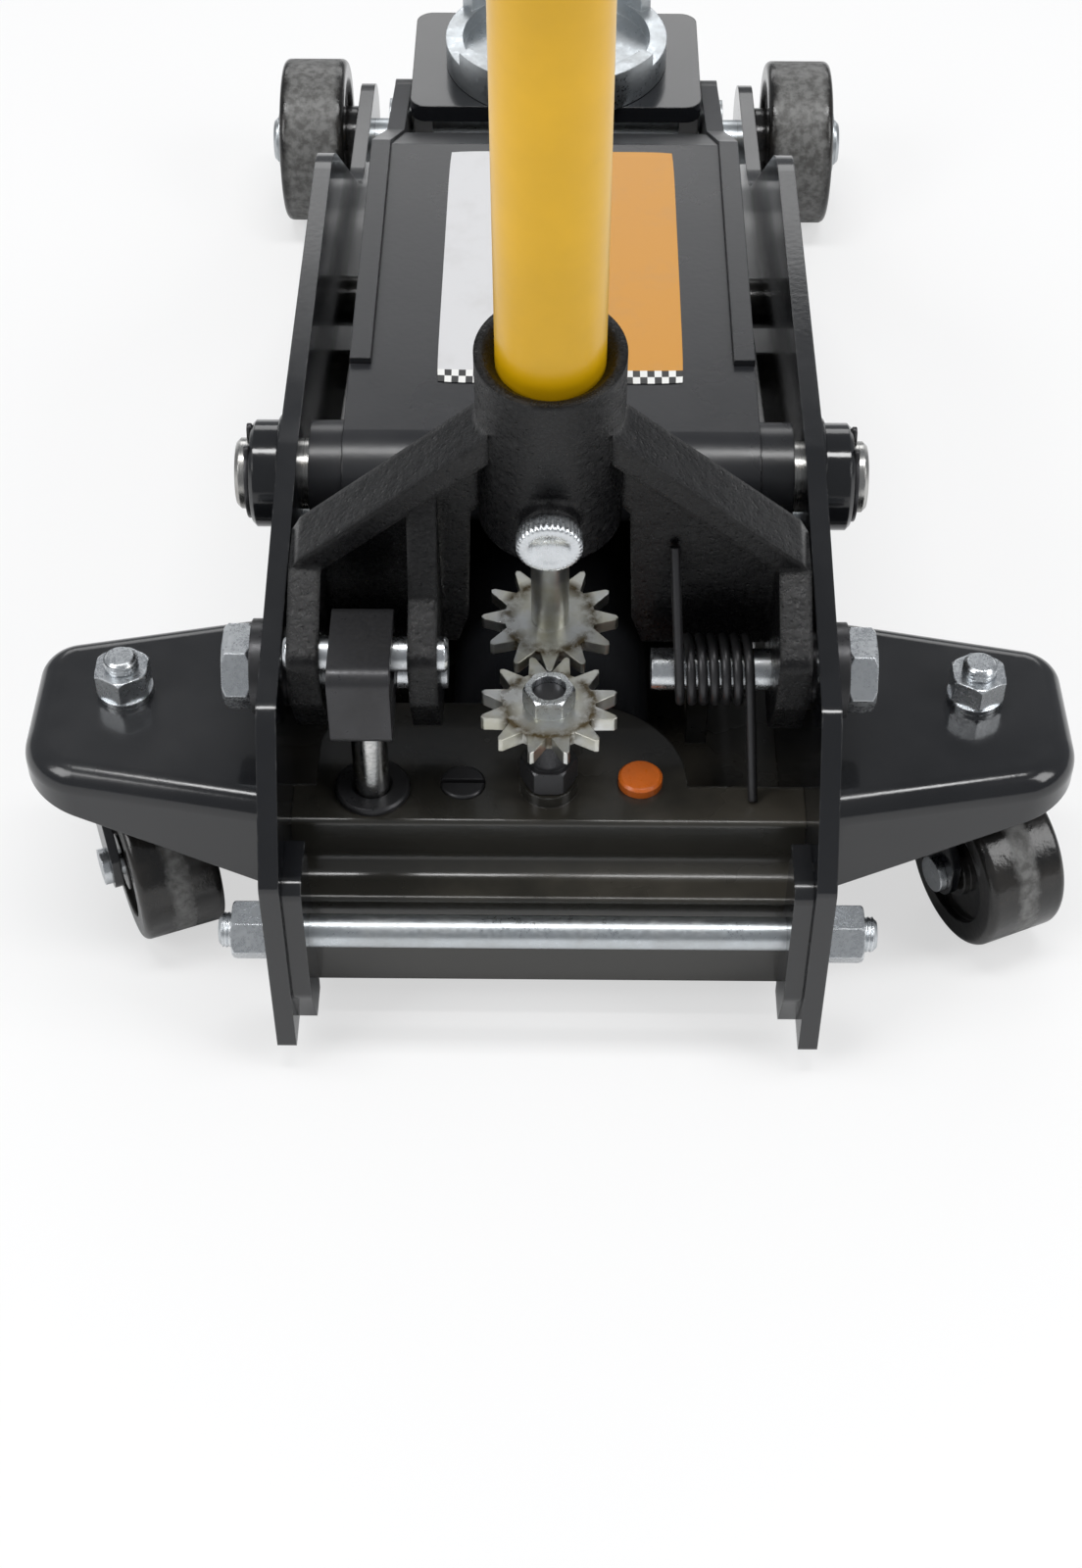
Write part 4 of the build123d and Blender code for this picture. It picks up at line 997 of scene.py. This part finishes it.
@dataclass
class CoverLabel:
    """Blank printed film on the lift-arm cover."""

    middle_x: float = 0.003
    half_width: float = 0.0467
    rear: float = SHAFT[1] + 0.028
    front: float = SHAFT[1] + 0.185
    height: float = 0.1650 + 0.00015
    thickness: float = 0.00018

    def build(self, material: Material) -> Object:
        """Make the film: a flat grid whose corners are drawn in along a superellipse.

        Args:
            material: printed finish.

        Returns:
            The new object.
        """
        n = 24
        s = np.linspace(-1, 1, n)
        u, v = np.meshgrid(s, s, indexing="ij")
        middle, half = (self.rear + self.front) / 2, (self.front - self.rear) / 2
        pull = 1 - 0.012 * (u**8) * (v**8)
        x = self.middle_x + u * self.half_width * pull
        points = np.stack([x, middle - v * half * pull, np.full_like(u, self.height)], 2)
        top = points + np.array([0, 0, self.thickness])
        rows, columns = n, n
        faces = grid_faces(rows, columns, False, False)
        mesh = bpy.data.meshes.new("cover_film")
        mesh.from_pydata(np.vstack([points.reshape(-1, 3), top.reshape(-1, 3)]).tolist(), [],
                         np.vstack([faces, faces[:, ::-1] + n * n]).tolist())
        layer = mesh.uv_layers.new(name="print")
        index = np.empty(len(mesh.loops), dtype=np.int32)
        mesh.loops.foreach_get("vertex_index", index)
        flat = np.stack([(u.ravel() + 1) / 2, (v.ravel() + 1) / 2], 1)
        layer.data.foreach_set("uv", flat[index % (n * n)].ravel())
        obj = bpy.data.objects.new("cover_film", mesh)
        bpy.context.scene.collection.objects.link(obj)
        dress(obj, material)
        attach(obj, "lift_arm")
        return obj


# ------------------------------------------------------------------ studio


@dataclass
class Studio:
    """Pale floor, soft panels and the camera."""

    floor_colour: Colour = (0.86, 0.86, 0.86)
    floor_lift: float = 0.6
    world_level: float = 0.30
    world_seen: float = 0.92
    camera_place: tuple[float, float, float] = (0.0033, TAIL_Y - 0.5553, 0.7459)
    pitch: float = math.radians(43.2)
    heading: float = math.radians(0.57)
    lens: float = 57.2

    def floor(self) -> Object:
        """Flat floor that shows the object's shadow."""
        half = 6.0
        s = np.linspace(-half, half, 5)
        x, y = np.meshgrid(s, s, indexing="ij")
        faces = grid_faces(5, 5, False, False)
        mesh = bpy.data.meshes.new("floor")
        mesh.from_pydata(np.stack([x, y, np.zeros_like(x)], 2).reshape(-1, 3).tolist(), [], faces.tolist())
        obj = bpy.data.objects.new("floor", mesh)
        bpy.context.scene.collection.objects.link(obj)
        b = NodeBoard("floor")
        b.finish(self.floor_colour, 0.9, 0.0, b.bump(b.noise(40, 3), 0.0002, 0.05))
        glow = b.node("ShaderNodeEmission")
        both = b.node("ShaderNodeMixShader")
        seen = b.times(b.node("ShaderNodeLightPath").outputs["Is Camera Ray"], self.floor_lift)
        b.wire(seen, both.inputs[0])
        b.wire(b.shader.outputs[0], both.inputs[1])
        b.wire(glow.outputs[0], both.inputs[2])
        b.wire(both.outputs[0], b.tree.nodes["Material Output"].inputs["Surface"])
        dress(obj, b.material)
        return obj

    def world(self) -> None:
        """Even pale surroundings, seen white but lighting the scene at a plain level."""
        world = bpy.data.worlds.new("studio")
        bpy.context.scene.world = world
        world.use_nodes = True
        back = world.node_tree.nodes["Background"]
        back.inputs["Color"].default_value = (0.93, 0.96, 1.0, 1)
        level = world.node_tree.nodes.new("ShaderNodeMapRange")
        level.inputs["To Min"].default_value = self.world_level
        level.inputs["To Max"].default_value = self.world_seen
        seen = world.node_tree.nodes.new("ShaderNodeLightPath").outputs["Is Camera Ray"]
        world.node_tree.links.new(seen, level.inputs["Value"])
        world.node_tree.links.new(level.outputs["Result"], back.inputs["Strength"])

    def panel(
        self, name: str, place: Sequence[float], size: Pair, power: float, aim: Sequence[float],
    ) -> None:
        """One rectangular soft light.

        Args:
            name: object name.
            place: where it hangs.
            size: width and height.
            power: watts.
            aim: the point that it faces.
        """
        lamp = bpy.data.lights.new(name, "AREA")
        lamp.shape = "RECTANGLE"
        lamp.size, lamp.size_y = size
        lamp.energy = power
        obj = bpy.data.objects.new(name, lamp)
        obj.location = place
        obj.rotation_euler = (Vector(aim) - Vector(place)).to_track_quat("-Z", "Y").to_euler()
        bpy.context.scene.collection.objects.link(obj)

    def camera(self) -> None:
        """Camera above and behind the handle end."""
        data = bpy.data.cameras.new("camera")
        data.lens = self.lens
        data.clip_start = 0.02
        obj = bpy.data.objects.new("camera", data)
        obj.location = self.camera_place
        obj.rotation_euler = (self.pitch, 0.0, self.heading)
        bpy.context.scene.collection.objects.link(obj)
        bpy.context.scene.camera = obj

    def build(self) -> None:
        """Set everything up."""
        self.floor()
        self.world()
        self.panel("front_panel", (0.0, 2.3, 1.3), (2.4, 0.8), 13, (0, 0, 0.1))
        self.panel("top_panel", (0.0, -0.2, 2.4), (1.8, 0.35), 30, (0, -0.1, 0.1))
        self.panel("left_panel", (-1.6, -1.1, 1.7), (1.0, 1.2), 21, (0, -0.1, 0.1))
        self.panel("right_panel", (1.7, -0.8, 1.5), (0.8, 1.2), 16, (0, -0.1, 0.1))
        self.camera()
        scene = bpy.context.scene
        scene.view_settings.view_transform = "Standard"


# ------------------------------------------------------------------ whole model


class Jack:
    """Chooses a finish for every CAD piece and adds the fine details."""

    def __init__(self, nodes: dict[str, Object]) -> None:
        """Keep the CAD objects and build the shared materials."""
        self.nodes = nodes
        # Each paint's dust colour is also a painted sheen on top faces, and its edge wear is also a painted
        # edge highlight.
        self.black = PaintFinish("gloss_black_paint", (0.0075, 0.008, 0.0095)).build()
        self.arm = PaintFinish(
            "satin_black_paint", (0.013, 0.0135, 0.0155), gloss=0.28, dust_and_sheen_amount=0.06, coat=0.0,
        ).build()
        self.block = PaintFinish(
            "block_paint", (0.020, 0.019, 0.016), gloss=0.2, dust_and_sheen_colour=(0.14, 0.12, 0.09), dust_and_sheen_amount=0.3,
        ).build()
        self.cast = CastFinish("socket_casting", (0.005, 0.005, 0.0055), (0.07, 0.07, 0.07)).build()
        self.yellow = PaintFinish(
            "yellow_paint", (0.70, 0.39, 0.001), dust_and_sheen_colour=(0.6, 0.33, 0.02), dust_and_sheen_amount=0.05,
            gloss=0.3, wear_and_edge_highlight=0.25, wear_and_edge_highlight_colour=(0.2, 0.12, 0.03), peel=0.04, coat=0.0,
        ).build()
        self.zinc = PlatedFinish("zinc_plate", (0.66, 0.685, 0.71), (0.52, 0.53, 0.52)).build()
        self.dull = PlatedFinish(
            "dull_zinc", (0.55, 0.585, 0.61), (0.3, 0.29, 0.27), rough=0.3, stain_amount=0.35,
        ).build()
        self.dark = PlatedFinish(
            "blackened_steel", (0.05, 0.05, 0.053), (0.02, 0.018, 0.016), rough=0.3, metal=0.6,
        ).build()
        self.bright = DrawnSteelFinish(
            "ground_steel", (0.66, 0.66, 0.65), (900, 60, 900), rough=0.16, oil=0.12,
        ).build()
        self.shaft = DrawnSteelFinish("turned_shaft", (0.55, 0.545, 0.53), (2600, 40, 40)).build()
        self.rubber = MouldedFinish("grip_rubber", (0.018, 0.018, 0.018), 0.62, 0.4, 900).build()
        self.plastic = MouldedFinish("cap_plastic", (0.02, 0.02, 0.02), 0.42, 0.2, 700).build()
        self.orange = MouldedFinish("plug_plastic", (0.78, 0.17, 0.02), 0.3, 0.08, 500).build()

    def finishes(self) -> dict[str, Material]:
        """Finish of every CAD node that isn't dressed by its own class."""
        table: dict[str, Material] = {}

        def put(material: Material, names: Iterable[str]) -> None:
            """File some nodes under one finish."""
            table.update({name: material for name in names})

        put(self.black, [
            "side_plate_left", "side_plate_right", "tail_doublers", "outrigger_left",
            "outrigger_right", "lift_shaft_bosses", "leveling_links", "reservoir_tube",
            "saddle_bracket", "caster_fork_left", "caster_fork_right",
        ])
        put(self.arm, ["lift_arm_cheeks", "lift_arm_hub", "lift_arm_cover"])
        put(self.cast, ["handle_socket"])
        put(self.block, ["pump_block", "cross_members", "ram_crosshead", "ram_pull_plates"])
        put(self.yellow, ["handle_lower_tube", "handle_upper_tube"])
        put(self.zinc, [
            "tie_rod_nuts", "pivot_bolts", "caster_nuts", "caster_washers", "caster_studs",
            "gear_nut", "thumb_screw", "plunger_pin", "caster_axle_left", "caster_axle_right",
            "caster_races",
        ])
        put(self.dull, [
            "rear_tie_rod", "front_axle", "axle_clips", "leveling_rear_pins",
            "leveling_front_pins", "lift_arm_pins", "saddle_pad",
        ])
        put(self.dark, [
            "plunger_gland", "cylinder_gland", "ram_cylinder", "lift_shaft_rings",
            "pivot_washers", "slotted_plugs", "release_valve", "plunger_head", "torsion_spring",
        ])
        put(self.bright, ["plunger_rod", "ram_rod"])
        put(self.shaft, ["lift_shaft"])
        put(self.rubber, ["handle_grip"])
        put(self.plastic, ["handle_end_cap"])
        put(self.orange, ["filler_plug"])
        return table

    def gears(self) -> None:
        """Dress the two release gears."""
        for name, foot, axis in (
            ("lower_gear", VALVE_FOOT, (0, 0, 1)),
            ("upper_gear", tuple(HANDLE_FOOT), tuple(UPWARD)),
        ):
            finish = GreasedGearFinish(f"{name}_steel", foot, axis, GEAR_ROOT, GEAR_TIP)
            dress(self.nodes[name], finish.build())

    def front_wheels(self) -> None:
        """Dress the two front wheels."""
        for side in Side:
            centre = (side.value * 0.122, TAIL_Y + 0.560, 0.040)
            finish = WheelFinish(f"front_tread_{side.word}", centre, (1.0, 0.0, 0.0), 0.040, 0.0125, 0.0)
            dress(self.nodes[f"front_wheel_{side.word}"], finish.build())

    def rod_threads(self) -> list[Object]:
        """Threads on the ends of the rear tie rod."""
        made = []
        for side in Side:
            frame = Frame3((0.0, TAIL_Y + 0.017, 0.059), (side.value, 0, 0))
            made.append(thread_sleeve(f"rod_thread_{side.word}", frame, 0.006, 0.1126, 0.1162, self.zinc))
        return made

    def build(self) -> None:
        """Dress the CAD pieces and add the new ones, reporting each."""
        for name, material in self.finishes().items():
            dress(self.nodes[name], material)
            LOG.info("dressed %s with %s", name, material.name)
        self.gears()
        self.front_wheels()
        made = Casters().build(self.nodes, self.zinc, self.black)
        made += self.rod_threads()
        made.append(ThumbScrew().build(self.zinc))
        made.append(RubberGrip().build(self.rubber))
        made += Welds().build(self.black)
        made += SnapRings().build(self.dark)
        made.append(CoverLabel().build(LabelFinish("cover_print").build()))
        for obj in made:
            LOG.info("made %s, %d faces", obj.name, len(obj.data.polygons))


def main() -> None:
    """Load the frame, dress it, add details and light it."""
    logging.basicConfig(level=logging.INFO, format="%(name)s: %(message)s")
    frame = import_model()
    Jack(frame["nodes"]).build()
    Studio().build()


if __name__ == "__main__":
    main()
